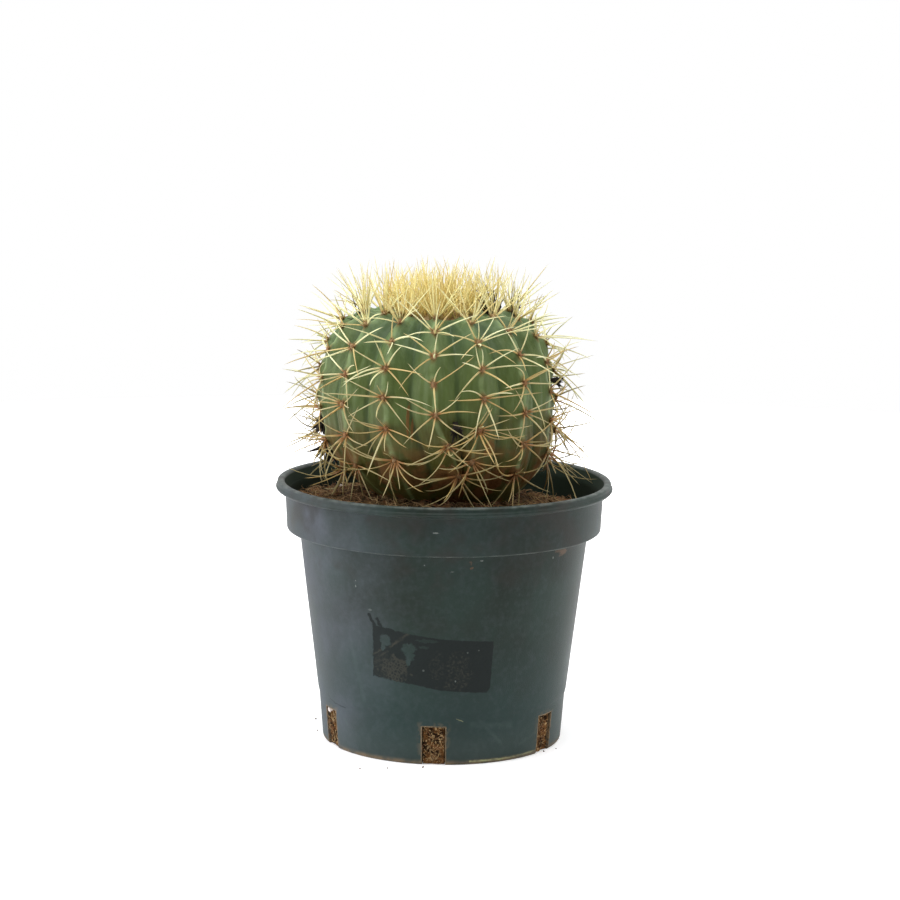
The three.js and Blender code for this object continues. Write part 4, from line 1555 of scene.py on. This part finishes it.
def paint_spine(net):
    point = net.place()
    along = net.attribute("along")
    age = net.attribute("age")
    tone = net.attribute("tone")
    patchy = net.use(blotches, point=point, size=7.0, seed=31.0, low=0.3, high=0.7)
    colour = net.mix(tone, STRAW, STRAW_PALE)
    colour = net.mix(net.fade(age, 0.18, 0.42, 0.9, 0.0), colour, GOLD)
    worn = net.times_plus(patchy, 0.14, age)
    worn = net.times_plus(tone, -0.18, worn)
    colour = net.mix(net.fade(worn, 0.34, 0.74, 0.0, 0.85), colour, OLD_STRAW)
    colour = net.mix(net.fade(tone, 0.0, 0.4, 0.6, 0.0), colour, OCHRE)
    ochre = net.times(net.fade(along, 0.05, 0.5, 0.6, 0.0), net.fade(age, 0.3, 0.8, 0.35, 1.0))
    colour = net.mix(ochre, colour, OCHRE)
    reach = net.times_plus(tone, 0.03, net.fade(age, 0.5, 1.0, 0.018, 0.15))
    stained = net.fade(net.minus(along, reach), 0.0, 0.09, 0.75, 0.0)
    colour = net.mix(stained, colour, SPINE_ROOT)
    tip = net.fade(along, 0.88, 1.0, 0.0, 0.45)
    colour = net.mix(tip, colour, OLD_STRAW)
    rings = net.math("SINE", net.times(along, 150.0))
    rough = net.times_plus(patchy, 0.2, 0.34)
    return {"Base Color": colour, "Roughness": rough, "Normal": net.bump(rings, 0.05, 0.4)}


spine_material = make_material("golden_spines", paint_spine, Specular_IOR_Level=0.5)
finish_piece(rib_spines, spine_material, "golden_spines")

# %% [markdown]
# ## The crown
# New spines push up through a bed of wool in the dip at the top. The bed is a lumpy pad with short hairs, and
# the young spines stand on it in the pattern of sunflower seeds, which fills a circle evenly.

# %% The crown's wool
_, tuft_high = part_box("crown_tuft")
WOOL_RADIUS = 20.4
WOOL_TOP = 216.2
WOOL_SIDES = 72
WOOL_HAIRS = 1500
CROWN_AGE = 0.12


def wool_bed():
    """The lumpy bed, a closed form with a soft upper edge."""
    turn = full_turn(WOOL_SIDES)
    profile = [(0.55, -5.2), (0.97, -4.4), (1.0, -2.4), (0.97, -0.9), (0.9, 0), (0.8, 0.4)]
    profile += [(share, 0.4) for share in np.linspace(0.7, 0.06, 12)]
    radius, height = (np.array(column)[:, None] for column in zip(*profile))
    rings = around(turn, WOOL_RADIUS * radius, WOOL_TOP + height)
    rings[..., 0] += BODY_CENTRE_X
    rings[..., 2] += 0.9 * noise_at(rings, 3.2, 7) * (height > -3)
    middle = np.array([BODY_CENTRE_X, 0, WOOL_TOP])
    return ringed(rings, middle - (0, 0, 5), middle + (0, 0, 0.3))


def wool_hairs(draw):
    """Short curved hairs all over the bed."""
    turn = 2 * np.pi * draw.random(WOOL_HAIRS)
    radius = WOOL_RADIUS * np.sqrt(draw.random(WOOL_HAIRS))
    root = around(turn, radius, WOOL_TOP - 0.2) + (BODY_CENTRE_X, 0, 0)
    lean = unit(around(turn + draw.normal(0, 0.8, WOOL_HAIRS), 0.3 + radius / 34, 0.9))
    length = (2.4 + 2.2 * draw.random(WOOL_HAIRS))[:, None, None]
    share = np.array([0, 0.35, 0.7, 1])[None, :, None]
    curve = draw.normal(0, 0.22, (WOOL_HAIRS, 1, 3))
    paths = root[:, None] + length * (share * lean[:, None] + share**2 * curve)
    return tubes(paths, np.broadcast_to([0.1, 0.09, 0.07, 0.02], (WOOL_HAIRS, 4)), 3)


def make_wool():
    wool = Batch()
    points, faces = wool_bed()
    wool.add(points, faces, age=0.15, along=0.3)
    points, faces, along = wool_hairs(np.random.default_rng(17))
    wool.add(points, faces, age=CROWN_AGE, along=along)
    return wool.piece("crown_wool")


finish_piece(make_wool(), felt_material, "golden_spines")


# %% The crown's young spines
CROWN_SPINES = 300
CROWN_SPINE_LENGTH = 26.0
CROWN_SIDES = 5
CROWN_STEPS = 6
GOLDEN_ANGLE = math.pi * (3 - math.sqrt(5))


def crown_spine_paths():
    draw = np.random.default_rng(23)
    index = np.arange(CROWN_SPINES)
    share = ((index + 0.5) / CROWN_SPINES) ** 0.62
    turn = index * GOLDEN_ANGLE + draw.normal(0, 0.1, CROWN_SPINES)
    root = around(turn, share * (WOOL_RADIUS - 1.0), WOOL_TOP - 1.2) + (BODY_CENTRE_X, 0, 0)
    lean = 0.12 + 0.42 * share**2 + draw.normal(0, 0.14, CROWN_SPINES)
    tilt = turn + draw.normal(0, 0.5, CROWN_SPINES)
    way = around(tilt, np.sin(lean), np.cos(lean))
    length = CROWN_SPINE_LENGTH * (0.7 + 0.45 * draw.random(CROWN_SPINES)) * (1 - 0.22 * share**2) + 1
    curve = around(tilt + draw.normal(0, 1.2, CROWN_SPINES), 0.09, 0.0)
    step = np.linspace(0, 1, CROWN_STEPS)[None, :, None]
    paths = root[:, None] + length[:, None, None] * (step * way[:, None] + step**2 * curve[:, None])
    top = tuft_high.z / MM - 0.2
    too_high = np.maximum(0, paths[..., -1, 2] - top)
    paths[..., 2] -= too_high[:, None] * np.linspace(0, 1, CROWN_STEPS)
    widths = 0.41 * (0.8 + 0.4 * draw.random(CROWN_SPINES))
    return paths, widths


crown_paths, crown_widths = crown_spine_paths()
crown_ages = np.full(CROWN_SPINES, CROWN_AGE)
crown_draw = np.random.default_rng(24)
crown = make_spines("crown_spines", crown_paths, crown_ages, crown_widths, crown_draw, CROWN_SIDES)
finish_piece(crown, spine_material, "golden_spines", "crown_tuft")

# %% [markdown]
# ## Withered flowers
# Old flowers stay on the plant as black, crumpled remains. Each is a short shrunken tube that hangs where its
# plain solid hangs, with a ragged mouth of petal strips. The tube is a form of rings pushed about by noise,
# and the strips are thin tubes that curl.

# %% Where the withered flowers hang
FLOWER_COUNT = sum(name.startswith("dried_flower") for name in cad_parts)
FLOWER_HEIGHT = 8.8
# The rib or furrow that it sits on, its distance from the crown, its size and its rise above the outward way
FLOWERS = (
    (0.42, 95, 0.95, -0.5),
    (3.75, 80, 0.7, -0.3),
    (-3.5, 96, 1.4, -1.28),
    (-3.5, 109, 1.5, -1.05),
    (4.3, 32, 0.7, 0),
    (4.25, 41, 0.75, 0.3),
    (4.5, 52, 0.9, -0.2),
    (-3.5, 42, 0.7, 0),
)


def flower_frame(rib, distance, rise):
    """Where a flower sits, the way it points, and two directions across that way."""
    turn = rib_turn(rib)
    place, outward, _, _ = skin(turn, distance)
    outward = unit(outward)
    sideways = np.array([math.cos(turn), math.sin(turn), 0.0])
    up = np.cross(outward, sideways)
    way = math.cos(rise) * outward + math.sin(rise) * up
    return place, way, sideways, np.cross(way, sideways)


print(f"{FLOWER_COUNT} withered flowers")

# %% The withered flowers' shapes
FLOWER_SIDES = 20
FLOWER_RINGS = 13
PETAL_STRIPS = 15


def flower_tube(frame_at, index, size):
    """The shrunken tube, crumpled by waves and noise."""
    place, way, first, second = frame_at
    turn = full_turn(FLOWER_SIDES)
    share = np.linspace(0.02, 1, FLOWER_RINGS)[:, None]
    width = np.interp(share, [0, 0.2, 0.5, 0.8, 1], [1.2, 1.0, 1.9, 2.5, 1.5])
    crumple = 1 + 0.22 * np.sin(3 * turn + index + 4 * share) + 0.12 * np.sin(7 * turn - 9 * share)
    radius = size * width * crumple
    height = size * FLOWER_HEIGHT * 0.78 * share + 0 * turn
    rings = place + height[..., None] * way + (radius * np.cos(turn))[..., None] * first
    rings = rings + (radius * np.sin(turn))[..., None] * second
    rings = rings + 0.4 * size * noise_at(rings, 1.4, index)[..., None] * way
    return ringed(rings, place - 0.1 * way, place + size * FLOWER_HEIGHT * 0.62 * way)


def petal_strips(frame_at, size, draw):
    """Curled strips round the tube's mouth."""
    place, way, first, second = frame_at
    turn = 2 * np.pi * (np.arange(PETAL_STRIPS) + draw.random(PETAL_STRIPS)) / PETAL_STRIPS
    outer = np.cos(turn)[:, None] * first + np.sin(turn)[:, None] * second
    root = place + size * (FLOWER_HEIGHT * 0.6 * way + 1.5 * outer)
    outer = outer[:, None]
    step = np.linspace(0, 1, 7)[None, :, None]
    open_by = (0.25 + 0.5 * draw.random(PETAL_STRIPS))[:, None, None]
    curl = draw.normal(0.1, 0.3, PETAL_STRIPS)[:, None, None]
    length = (size * (3.0 + 3.0 * draw.random(PETAL_STRIPS)))[:, None, None]
    paths = root[:, None] + length * (step * (way + open_by * outer) + step**2 * curl * outer)
    radii = size * np.broadcast_to([0.5, 0.62, 0.6, 0.5, 0.36, 0.2, 0.05], (PETAL_STRIPS, 7))
    return tubes(paths, radii, 5)


def make_flower(index, rib, distance, size, rise):
    frame_at = flower_frame(rib, distance, rise)
    flower = Batch()
    points, faces = flower_tube(frame_at, index, size)
    flower.add(points, faces, along=0.4)
    points, faces, along = petal_strips(frame_at, size, np.random.default_rng(40 + index))
    flower.add(points, faces, along=along)
    return flower.piece(f"withered_flower_{index + 1}")


# %% [markdown]
# The remains are almost black, with brown where the petals are thinnest, and they have no shine.

# %% The withered flowers' finish
CHARRED = (0.016, 0.0125, 0.0085)
PAPERY = (0.105, 0.065, 0.036)


def paint_withered(net):
    point = net.place()
    patchy = net.use(blotches, point=point, size=2.2, seed=41.0, low=0.42, high=0.68)
    thin = net.fade(net.attribute("along"), 0.5, 1.0, 0.15, 0.7)
    colour = net.mix(net.times(patchy, thin), CHARRED, PAPERY)
    wrinkled = net.use(streaks, point=point, width=0.4, length=3.0, seed=42.0, low=0.4, high=0.6)
    rough = net.times_plus(patchy, 0.15, 0.72)
    return {"Base Color": colour, "Roughness": rough, "Normal": net.bump(wrinkled, 0.3)}


withered = make_material("dried_flower", paint_withered, Specular_IOR_Level=0.25)
for index, spec in enumerate(FLOWERS[:FLOWER_COUNT]):
    finish_piece(make_flower(index, *spec), withered, "dried_flower", f"dried_flower_{index + 1}")

# %% [markdown]
# A few spines beside the crown have died as well, most of them on its right. They are the same curved tubes,
# in groups like those of an areole, but grey-black, thin and of uneven length.

# %% Dead spines by the crown
# Rib, distance from the crown, and how many spines stand there
DEAD_GROUPS = ((2.9, 30, 5), (3.45, 33, 6), (3.1, 41, 4), (4.1, 30, 5), (-3.4, 42, 3))


def make_dead_spines():
    draw = np.random.default_rng(31)
    paths = []
    for rib, distance, count in DEAD_GROUPS:
        frame_at = areole_frame(rib, distance)
        for _ in range(count):
            angle = draw.uniform(20, 160)
            length = draw.uniform(9, 23)
            rise = draw.uniform(48, 80)
            curl = draw.normal(0, 0.1)
            paths.append(spine_path(frame_at, angle, rise, length, 0.0, curl, 0.05))
    widths = draw.uniform(0.3, 0.5, len(paths))
    return make_spines("dead_spines", np.array(paths), np.full(len(paths), 0.2), widths, draw)


finish_piece(make_dead_spines(), withered, "dried_flower")

# %% [markdown]
# ## The soil
# The pot is filled with dark peat that heaps against the plant. Its body is one closed form: it fits the
# pot's inside, its top is a fine grid, and a hole in its middle holds the root. Waves and noise at two sizes
# make clods and crumbs on top of it, and the material adds the grit.

# %% The soil bed
SOIL_SIDES = 168
TOP_ROWS = 52
# Distance from the crown at which the stem passes through the soil's surface
ROOT_DISTANCE = 152.0


def soil_surface(x, y):
    """The soil's height with its relief, at one place or at many."""
    flat_points = np.stack([x, y, 0 * x], axis=-1)
    relief = 1.1 * noise_at(flat_points, 6.5, 8) + 0.55 * noise_at(flat_points, 2.4, 9)
    return soil_height(x, y) + relief


def make_soil():
    turn = full_turn(SOIL_SIDES)
    side = [
        (30, FLOOR_TOP + GAP),
        (FOOT_RADIUS - WALL - GAP - 0.9, FLOOR_TOP + GAP),
        (FOOT_RADIUS - WALL - GAP - 0.1, FLOOR_TOP + GAP + 1.4),
        (LEDGE_RADIUS - WALL - GAP - 0.2, LEDGE_HEIGHT + 0.3),
        (BODY_TOP_RADIUS - WALL - GAP - 0.4, COLLAR_BOTTOM),
        (COLLAR_BOTTOM_RADIUS - WALL - GAP - 0.3, COLLAR_BOTTOM + 3.6),
    ]
    wall_radius, wall_height = (column[:, None] for column in divided(np.array(side, float), 5).T)
    wall = around(turn, wall_radius, wall_height)
    outer = COLLAR_BOTTOM_RADIUS - WALL - GAP - 0.1
    hole = on_ridge(ROOT_DISTANCE, 0) + GAP
    top_radius = np.linspace(outer, hole, TOP_ROWS)[:, None]
    top = around(turn, top_radius, 0.0)
    top[..., 0] += axis_x(120) * (outer - top_radius) / (outer - hole)
    top[..., 2] = soil_surface(top[..., 0], top[..., 1])
    distances = np.linspace(ROOT_DISTANCE + 3, RIDGE_LENGTH - 3, 8)[:, None]
    well_radius = on_ridge(distances, 0) + GAP
    well = around(turn, well_radius, on_ridge(distances, 1) - GAP)
    well[..., 0] += axis_x(on_ridge(distances, 1))
    rings = np.concatenate([wall, top, well])
    end = np.array([axis_x(103.0), 0, RIDGE_POINTS[0][1] - GAP])
    points, faces = ringed(rings, (0, 0, FLOOR_TOP + GAP), end)
    return make_piece("soil_bed", points, faces)


print(f"soil surface in front: {soil_surface(0, -65):.1f} mm")

# %% The soil's finish
PEAT = (0.076, 0.044, 0.017)
PEAT_DRY = (0.285, 0.172, 0.077)
# Colour of the painted shade in the gaps between crumbs
PEAT_GAP_SHADE = (0.014, 0.008, 0.004)
FIBRE = (0.36, 0.24, 0.12)
BARK = (0.20, 0.085, 0.033)


def paint_soil(net):
    point = net.place()
    damp = net.use(blotches, point=point, size=9.0, seed=51.0, low=0.35, high=0.7)
    crumbly = net.use(blotches, point=point, size=1.8, seed=52.0, low=0.42, high=0.66)
    colour = net.mix(net.times(damp, net.times_plus(crumbly, 0.7, 0.3)), PEAT, PEAT_DRY)
    chunks = net.use(blotches, point=point, size=3.2, seed=54.0, low=0.52, high=0.6)
    colour = net.mix(net.times(chunks, 0.7), colour, BARK)
    # Painted shade: dark blotches stand for the shadowed gaps between crumbs
    gap_shade = net.use(blotches, point=point, size=2.0, seed=55.0, low=0.5, high=0.62)
    colour = net.mix(net.times(gap_shade, 0.8), colour, PEAT_GAP_SHADE)
    bits = net.use(specks, point=point, spacing=2.0, size=0.5, share=0.3, seed=53.0)
    colour = net.mix(net.times(bits, 0.55), colour, FIBRE)
    grit = net.cloud(point, 1.5, 6.0)
    rough = net.times_plus(grit, 0.2, 0.8)
    return {"Base Color": colour, "Roughness": rough, "Normal": net.bump(grit, 0.8)}


soil_material = make_material("potting_soil", paint_soil, Specular_IOR_Level=0.15)
finish_piece(make_soil(), soil_material, "potting_soil", "soil")

# %% [markdown]
# ### Crumbs and rootlets
# Loose crumbs and dry fibres lie on the soil. A crumb is a tiny lump of rings, pushed out of shape at random.
# A fibre is a long thin tube that follows a bent path just above the surface. Every ninth one is stouter,
# like a spine that has fallen off.

# %% Loose crumbs
CRUMBS = 520
CRUMB_SIDES = 8


def crumb(centre, size, draw):
    """A small lump, squashed and turned at random."""
    form = np.stack(globe(0.35, math.pi - 0.35, 4, CRUMB_SIDES), axis=-1)
    form = form * (1 + 0.28 * draw.normal(0, 1, form.shape[:2]).clip(-1.5, 1.5))[..., None]
    spin = Matrix.Rotation(draw.random() * 6.3, 3, Vector(draw.normal(0, 1, 3)).normalized())
    squash = np.array([1, 0.8, 0.62]) * size
    turned = (form * squash) @ np.array(spin)
    poles = np.array([[0, 0, -0.62], [0, 0, 0.62]]) * size @ np.array(spin)
    return ringed(turned + centre, poles[0] + centre, poles[1] + centre)


def make_crumbs():
    draw = np.random.default_rng(61)
    crumbs = Batch()
    for _ in range(CRUMBS):
        turn = 2 * math.pi * draw.random()
        radius = math.sqrt(draw.uniform(31**2, 76**2))
        size = 0.5 + 1.1 * draw.random() ** 2
        x = radius * math.sin(turn)
        y = -radius * math.cos(turn)
        height = soil_surface(x, y)
        crumbs.add(*crumb(np.array([x, y, height + 0.25 * size]), size, draw))
    return crumbs.piece("soil_crumbs")


finish_piece(make_crumbs(), soil_material, "potting_soil")

# %% Dry rootlets and fallen spines on the soil
FIBRES = 760
FIBRE_STEPS = 9
FIBRE_LIMIT = 75.5


def fibre_paths(draw, count, low_radius, high_radius):
    """Bent paths that lie on the soil between two radii, and inside the pot's wall."""
    turn = 2 * np.pi * draw.random(count)
    radius = np.sqrt(draw.uniform(low_radius**2, high_radius**2, count))
    start = around(turn, radius, 0.0)[:, :2]
    heading = 2 * np.pi * draw.random(count)
    length = draw.uniform(5, 17, count)
    bend = draw.normal(0, 1.1, count)
    share = np.linspace(0, 1, FIBRE_STEPS)
    angle = heading[:, None] + bend[:, None] * share
    step = (length / (FIBRE_STEPS - 1))[:, None, None] * np.stack([np.cos(angle), np.sin(angle)], axis=-1)
    flat_path = start[:, None] + np.cumsum(step, axis=1)
    reach = np.hypot(flat_path[..., 0], flat_path[..., 1])
    flat_path *= np.minimum(1, FIBRE_LIMIT / reach)[..., None]
    height = soil_surface(flat_path[..., 0], flat_path[..., 1])
    lift = 0.5 + 1.2 * draw.random(count)[:, None] * np.sin(np.pi * share) ** 2
    tilt = draw.uniform(-0.6, 2.6, count)[:, None] * share**2
    return np.concatenate([flat_path, (height + lift + tilt)[..., None]], axis=-1)


def make_fibres():
    draw = np.random.default_rng(71)
    paths = fibre_paths(draw, FIBRES, 34, 75)
    widths = draw.uniform(0.1, 0.24, FIBRES)
    widths[::9] *= 2.1
    return make_spines("soil_rootlets", paths, draw.random(FIBRES), widths, draw, 4)


# %% The rootlets' finish
FIBRE_DRY = (0.60, 0.43, 0.21)
FIBRE_RED = (0.20, 0.07, 0.03)


def paint_fibre(net):
    point = net.place()
    colour = net.mix(net.attribute("tone"), FIBRE_RED, FIBRE_DRY)
    dirty = net.use(blotches, point=point, size=3.0, seed=72.0, low=0.35, high=0.65)
    colour = net.mix(net.times(dirty, 0.45), colour, PEAT)
    rough = net.times_plus(dirty, 0.2, 0.7)
    grooved = net.use(streaks, point=point, width=0.3, length=2.0, seed=73.0)
    return {"Base Color": colour, "Roughness": rough, "Normal": net.bump(grooved, 0.05)}


fibre_material = make_material("soil_rootlets", paint_fibre, Specular_IOR_Level=0.25)
finish_piece(make_fibres(), fibre_material, "potting_soil")

# %% [markdown]
# ### Soil in the drainage slots
# Behind each slot the peat is held together by roots, browner and more fibrous than on top. A lumpy block
# fills the slot, with crumbs and fibres on its face.

# %% The slots' soil
SLOT_FACE_RADIUS = 59.6
SLOT_FACE_RISE = 0.08
SLOT_ROWS = 34
SLOT_SIDES = 44
SLOT_CRUMBS = 46
SLOT_FIBRES = 34


def slot_block(turn):
    """A block that fills the slot at the front, with a lumpy face that differs with the turn."""
    bottom = 0.25
    top = SLOT_HEIGHT - GAP - 0.1
    half = SLOT_WIDTH / 2 - GAP
    depth = (SLOT_FACE_RADIUS - SLOT_INNER_RADIUS - GAP) / 2
    middle_y = -(SLOT_INNER_RADIUS + GAP + depth)
    height = np.linspace(bottom, top, SLOT_ROWS)[:, None]
    angle = full_turn(SLOT_SIDES)
    square = np.maximum(np.abs(np.cos(angle)), np.abs(np.sin(angle)))
    x = half * np.cos(angle) / square + 0 * height
    y = middle_y + depth * np.sin(angle) / square + 0 * height
    rings = np.stack([x, y, height + 0 * x], axis=-1)
    front = smooth_rise(0.3, 0.9, -np.sin(angle) / square) + 0 * height
    relief = noise_at(rings + 50 * turn, 2.2, 10) + 0.6 * noise_at(rings, 0.9, 11)
    rings[..., 1] += front * (0.75 * relief + 0.2 - SLOT_FACE_RISE * height)
    return ringed(rings, np.array([0, middle_y, bottom]), np.array([0, middle_y, top]))


def make_slot_soil():
    draw = np.random.default_rng(81)
    soil = Batch()
    for turn in slot_turns:
        points, faces = slot_block(turn)
        soil.add(points @ turned_by(turn), faces)
        for _ in range(SLOT_CRUMBS):
            level = draw.uniform(1.2, SLOT_HEIGHT - 1.2)
            aside = draw.uniform(-4.9, 4.9)
            centre = np.array([aside, -SLOT_FACE_RADIUS - SLOT_FACE_RISE * level, level])
            points, faces = crumb(centre, 0.35 + 0.6 * draw.random(), draw)
            soil.add(points @ turned_by(turn), faces)
    return soil.piece("slot_soil")


# %% The slots' rootlets
def make_slot_fibres():
    draw = np.random.default_rng(91)
    share = np.linspace(0, 1, FIBRE_STEPS)
    paths = []
    for turn in slot_turns:
        for _ in range(SLOT_FIBRES):
            start = np.array([draw.uniform(-4.8, 4.8), draw.uniform(1.5, SLOT_HEIGHT - 1.5)])
            heading = draw.uniform(0, 2 * math.pi) + draw.normal(0, 1.2) * share
            reach = draw.uniform(2.5, 7)
            x = np.clip(start[0] + reach * share * np.cos(heading), -5.3, 5.3)
            z = np.clip(start[1] + reach * share * np.sin(heading), 0.5, SLOT_HEIGHT - 0.6)
            out = SLOT_FACE_RADIUS + 0.3 + SLOT_FACE_RISE * z + 0.9 * np.sin(np.pi * share) * draw.random()
            paths.append(np.stack([x, -out, z], axis=-1) @ turned_by(turn))
    widths = draw.uniform(0.08, 0.2, len(paths))
    return make_spines("slot_rootlets", np.array(paths), draw.random(len(paths)), widths, draw, 4)


# %% The slot soil's finish
SLOT_PEAT = (0.025, 0.0105, 0.003)
SLOT_PEAT_DRY = (0.172, 0.079, 0.025)
SLOT_CHAFF = (0.58, 0.40, 0.20)


def paint_slot_soil(net):
    point = net.place()
    crumbly = net.use(blotches, point=point, size=2.8, seed=82.0, low=0.43, high=0.58)
    colour = net.mix(crumbly, SLOT_PEAT, SLOT_PEAT_DRY)
    bits = net.use(blotches, point=point, size=1.2, seed=83.0, low=0.55, high=0.64)
    colour = net.mix(net.times(bits, 0.75), colour, SLOT_CHAFF)
    grit = net.cloud(point, 2.4, 6.0)
    rough = net.times_plus(grit, 0.2, 0.8)
    return {"Base Color": colour, "Roughness": rough, "Normal": net.bump(grit, 0.6)}


slot_material = make_material("slot_soil", paint_slot_soil, Specular_IOR_Level=0.15)
finish_piece(make_slot_soil(), slot_material, "potting_soil")

# %% [markdown]
# ### Perlite
# Potting soil holds white grains of perlite, a puffed glass. One shows in the left slot, and a few lie on the
# soil.

# %% Grains of perlite
GRAIN_FLATNESS = 0.8
# Degrees round the pot from the front, distance from the axis, size
PERLITE_ON_SOIL = (
    (-47, 66, 1.3),
    (-20, 70, 0.9),
    (62, 67, 1.1),
    (148, 64, 1.4),
    (-128, 69, 1.2),
    (101, 71, 0.8),
)


def grain(middle, size, seed):
    """A round grain with a slightly uneven skin."""
    aside, away, up = globe(0.25, math.pi - 0.25, 9, 18)
    rings = size * np.stack([aside, away, GRAIN_FLATNESS * up], axis=-1)
    uneven = 1 + 0.22 * noise_at(rings, 0.7 * size, seed)
    top = np.array([0, 0, GRAIN_FLATNESS * size])
    return ringed(rings * uneven[..., None] + middle, middle - top, middle + top)


def make_perlite():
    grains = Batch()
    left_slot = slot_turns[0] - 2 * math.pi / SLOT_COUNT
    in_slot = around(left_slot - math.radians(3.2), SLOT_FACE_RADIUS + 0.7, SLOT_HEIGHT - 1.2)
    grains.add(*grain(in_slot, 2.1, 12))
    for index, (degrees, radius, size) in enumerate(PERLITE_ON_SOIL):
        x, y, _ = around(math.radians(degrees), radius, 0.0)
        height = soil_surface(x, y)
        grains.add(*grain(np.array([x, y, height + 0.3 * size]), size, 13 + index))
    return grains.piece("perlite")


# %% The perlite's finish
PERLITE = (0.66, 0.58, 0.53)


def paint_perlite(net):
    point = net.place()
    dirty = net.use(blotches, point=point, size=1.2, seed=84.0, low=0.5, high=0.75)
    colour = net.mix(net.times(dirty, 0.5), PERLITE, SLOT_PEAT_DRY)
    pits = net.use(specks, point=point, spacing=0.5, size=0.15, share=0.5, seed=85.0)
    rough = net.times_plus(pits, 0.1, 0.8)
    return {"Base Color": colour, "Roughness": rough, "Normal": net.bump(pits, -0.1)}


perlite_material = make_material("perlite", paint_perlite, Specular_IOR_Level=0.2)
finish_piece(make_perlite(), perlite_material, "potting_soil")
finish_piece(make_slot_fibres(), fibre_material, "potting_soil")

# %% [markdown]
# ## Light and floor
# The photograph was taken on a white sweep: everything behind and below the pot is white, and the room behind
# the camera is dimmer. That is why the pot's edges mirror white and its front looks dark. The world repeats
# it with a gradient from front to back. A large soft light hangs above, and one stands on each side.
# The camera itself sees plain white where nothing stands. The floor is a thin disc with painted light: the
# camera sees it glow, faintly near the pot, where the glow pales the pot's shadow, and fully towards its edge
# so that it melts into the white behind. A few crumbs have fallen on it from the slots.

# %% The floor
FLOOR_RADIUS = 1250.0
FLOOR_DEPTH = 6.0
FLOOR_SIDES = 96
FLOOR_GREY = (0.93, 0.93, 0.94)
FLOOR_WHITE = (0.95, 0.95, 0.95)


def paint_floor(net):
    point = net.place()
    cloudy = net.use(blotches, point=point, size=400.0, seed=95.0, low=0.2, high=0.8)
    colour = net.mix(cloudy, FLOOR_GREY, FLOOR_WHITE)
    # Painted light: only the camera sees this glow, faint near the pot, where it pales the pot's shadow, and
    # full at the edge
    seen = net.seen_by_camera()
    glow = net.fade(net.off_axis(net.parts(point)), 180.0, 900.0, 0.22, 1.0)
    return {"Base Color": colour, "Emission Strength": net.times(seen, glow)}


def make_floor():
    radius = np.array([FLOOR_RADIUS, FLOOR_RADIUS, 900.0, 400.0])[:, None]
    height = np.array([-FLOOR_DEPTH, 0.0, 0.0, 0.0])[:, None]
    rings = around(full_turn(FLOOR_SIDES), radius, height)
    points, faces = ringed(rings, (0, 0, -FLOOR_DEPTH), (0, 0, 0))
    floor = make_piece("floor", points, faces)
    constants = {"Roughness": 0.9, "Specular_IOR_Level": 0.1, "Emission_Color": (1, 1, 1, 1)}
    floor.data.materials.append(make_material("floor", paint_floor, **constants))
    floor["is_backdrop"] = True


make_floor()
print(f"floor: a disc {2 * FLOOR_RADIUS * MM:.1f} m across")

# %% Crumbs on the floor
FLOOR_CRUMBS = ((-66, 24), (-64, 1), (-39.6, -69.4), (-26.2, -68), (-8.8, -66), (51.5, -34), (58, -28.8))


def make_floor_crumbs():
    """A few grains of soil that fell out of the slots."""
    draw = np.random.default_rng(97)
    grains = Batch()
    for x, y in FLOOR_CRUMBS:
        size = 0.35 + 0.25 * draw.random()
        grains.add(*crumb(np.array([x, y, 0.6 * size]), size, draw))
    piece = grains.piece("floor_crumbs")
    piece.data.materials.append(soil_material)
    piece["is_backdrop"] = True


make_floor_crumbs()
print(f"{len(FLOOR_CRUMBS)} crumbs on the floor")

# %% The lights
LIGHT_AIM = Vector((0, 0, 0.13))


def soft_light(name, place, size, power, colour=(1, 1, 1)):
    light = bpy.data.lights.new(name, "AREA")
    light.shape = "RECTANGLE"
    light.size, light.size_y = size
    light.energy = power
    light.color = colour
    lamp = bpy.data.objects.new(name, light)
    place = Vector(place)
    turned = (LIGHT_AIM - place).to_track_quat("-Z", "Y").to_matrix().to_4x4()
    lamp.matrix_world = Matrix.Translation(place) @ turned
    scene.collection.objects.link(lamp)


def make_world():
    world = bpy.data.worlds.new("sweep")
    world.use_nodes = True
    net = Network(world.node_tree)
    way = net.node("ShaderNodeTexCoord", {}).outputs["Generated"]
    strength = net.fade(net.parts(way)[1], -0.55, 0.6, 0.12, 1.0)
    background = world.node_tree.nodes["Background"]
    background.inputs["Color"].default_value = (1, 1, 1, 1)
    net.plug(background.inputs["Strength"], net.larger(strength, net.seen_by_camera()))
    scene.world = world


make_world()
soft_light("light_above", (0.0, -0.25, 1.9), (1.8, 1.8), 46)
soft_light("light_left", (-1.5, -0.25, 0.55), (1.1, 1.6), 27, (0.94, 0.96, 1.0))
soft_light("light_right", (1.6, 0.1, 0.6), (0.8, 1.6), 10)
print("lights:", ", ".join(sorted(light.name for light in bpy.data.lights)))

# %% Sizes, and the end
dressed_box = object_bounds()
boxes = {"solid": solid_box, "dressed": dressed_box}
for name, box in boxes.items():
    print(name, [[round(value / MM, 1) for value in corner] for corner in box])
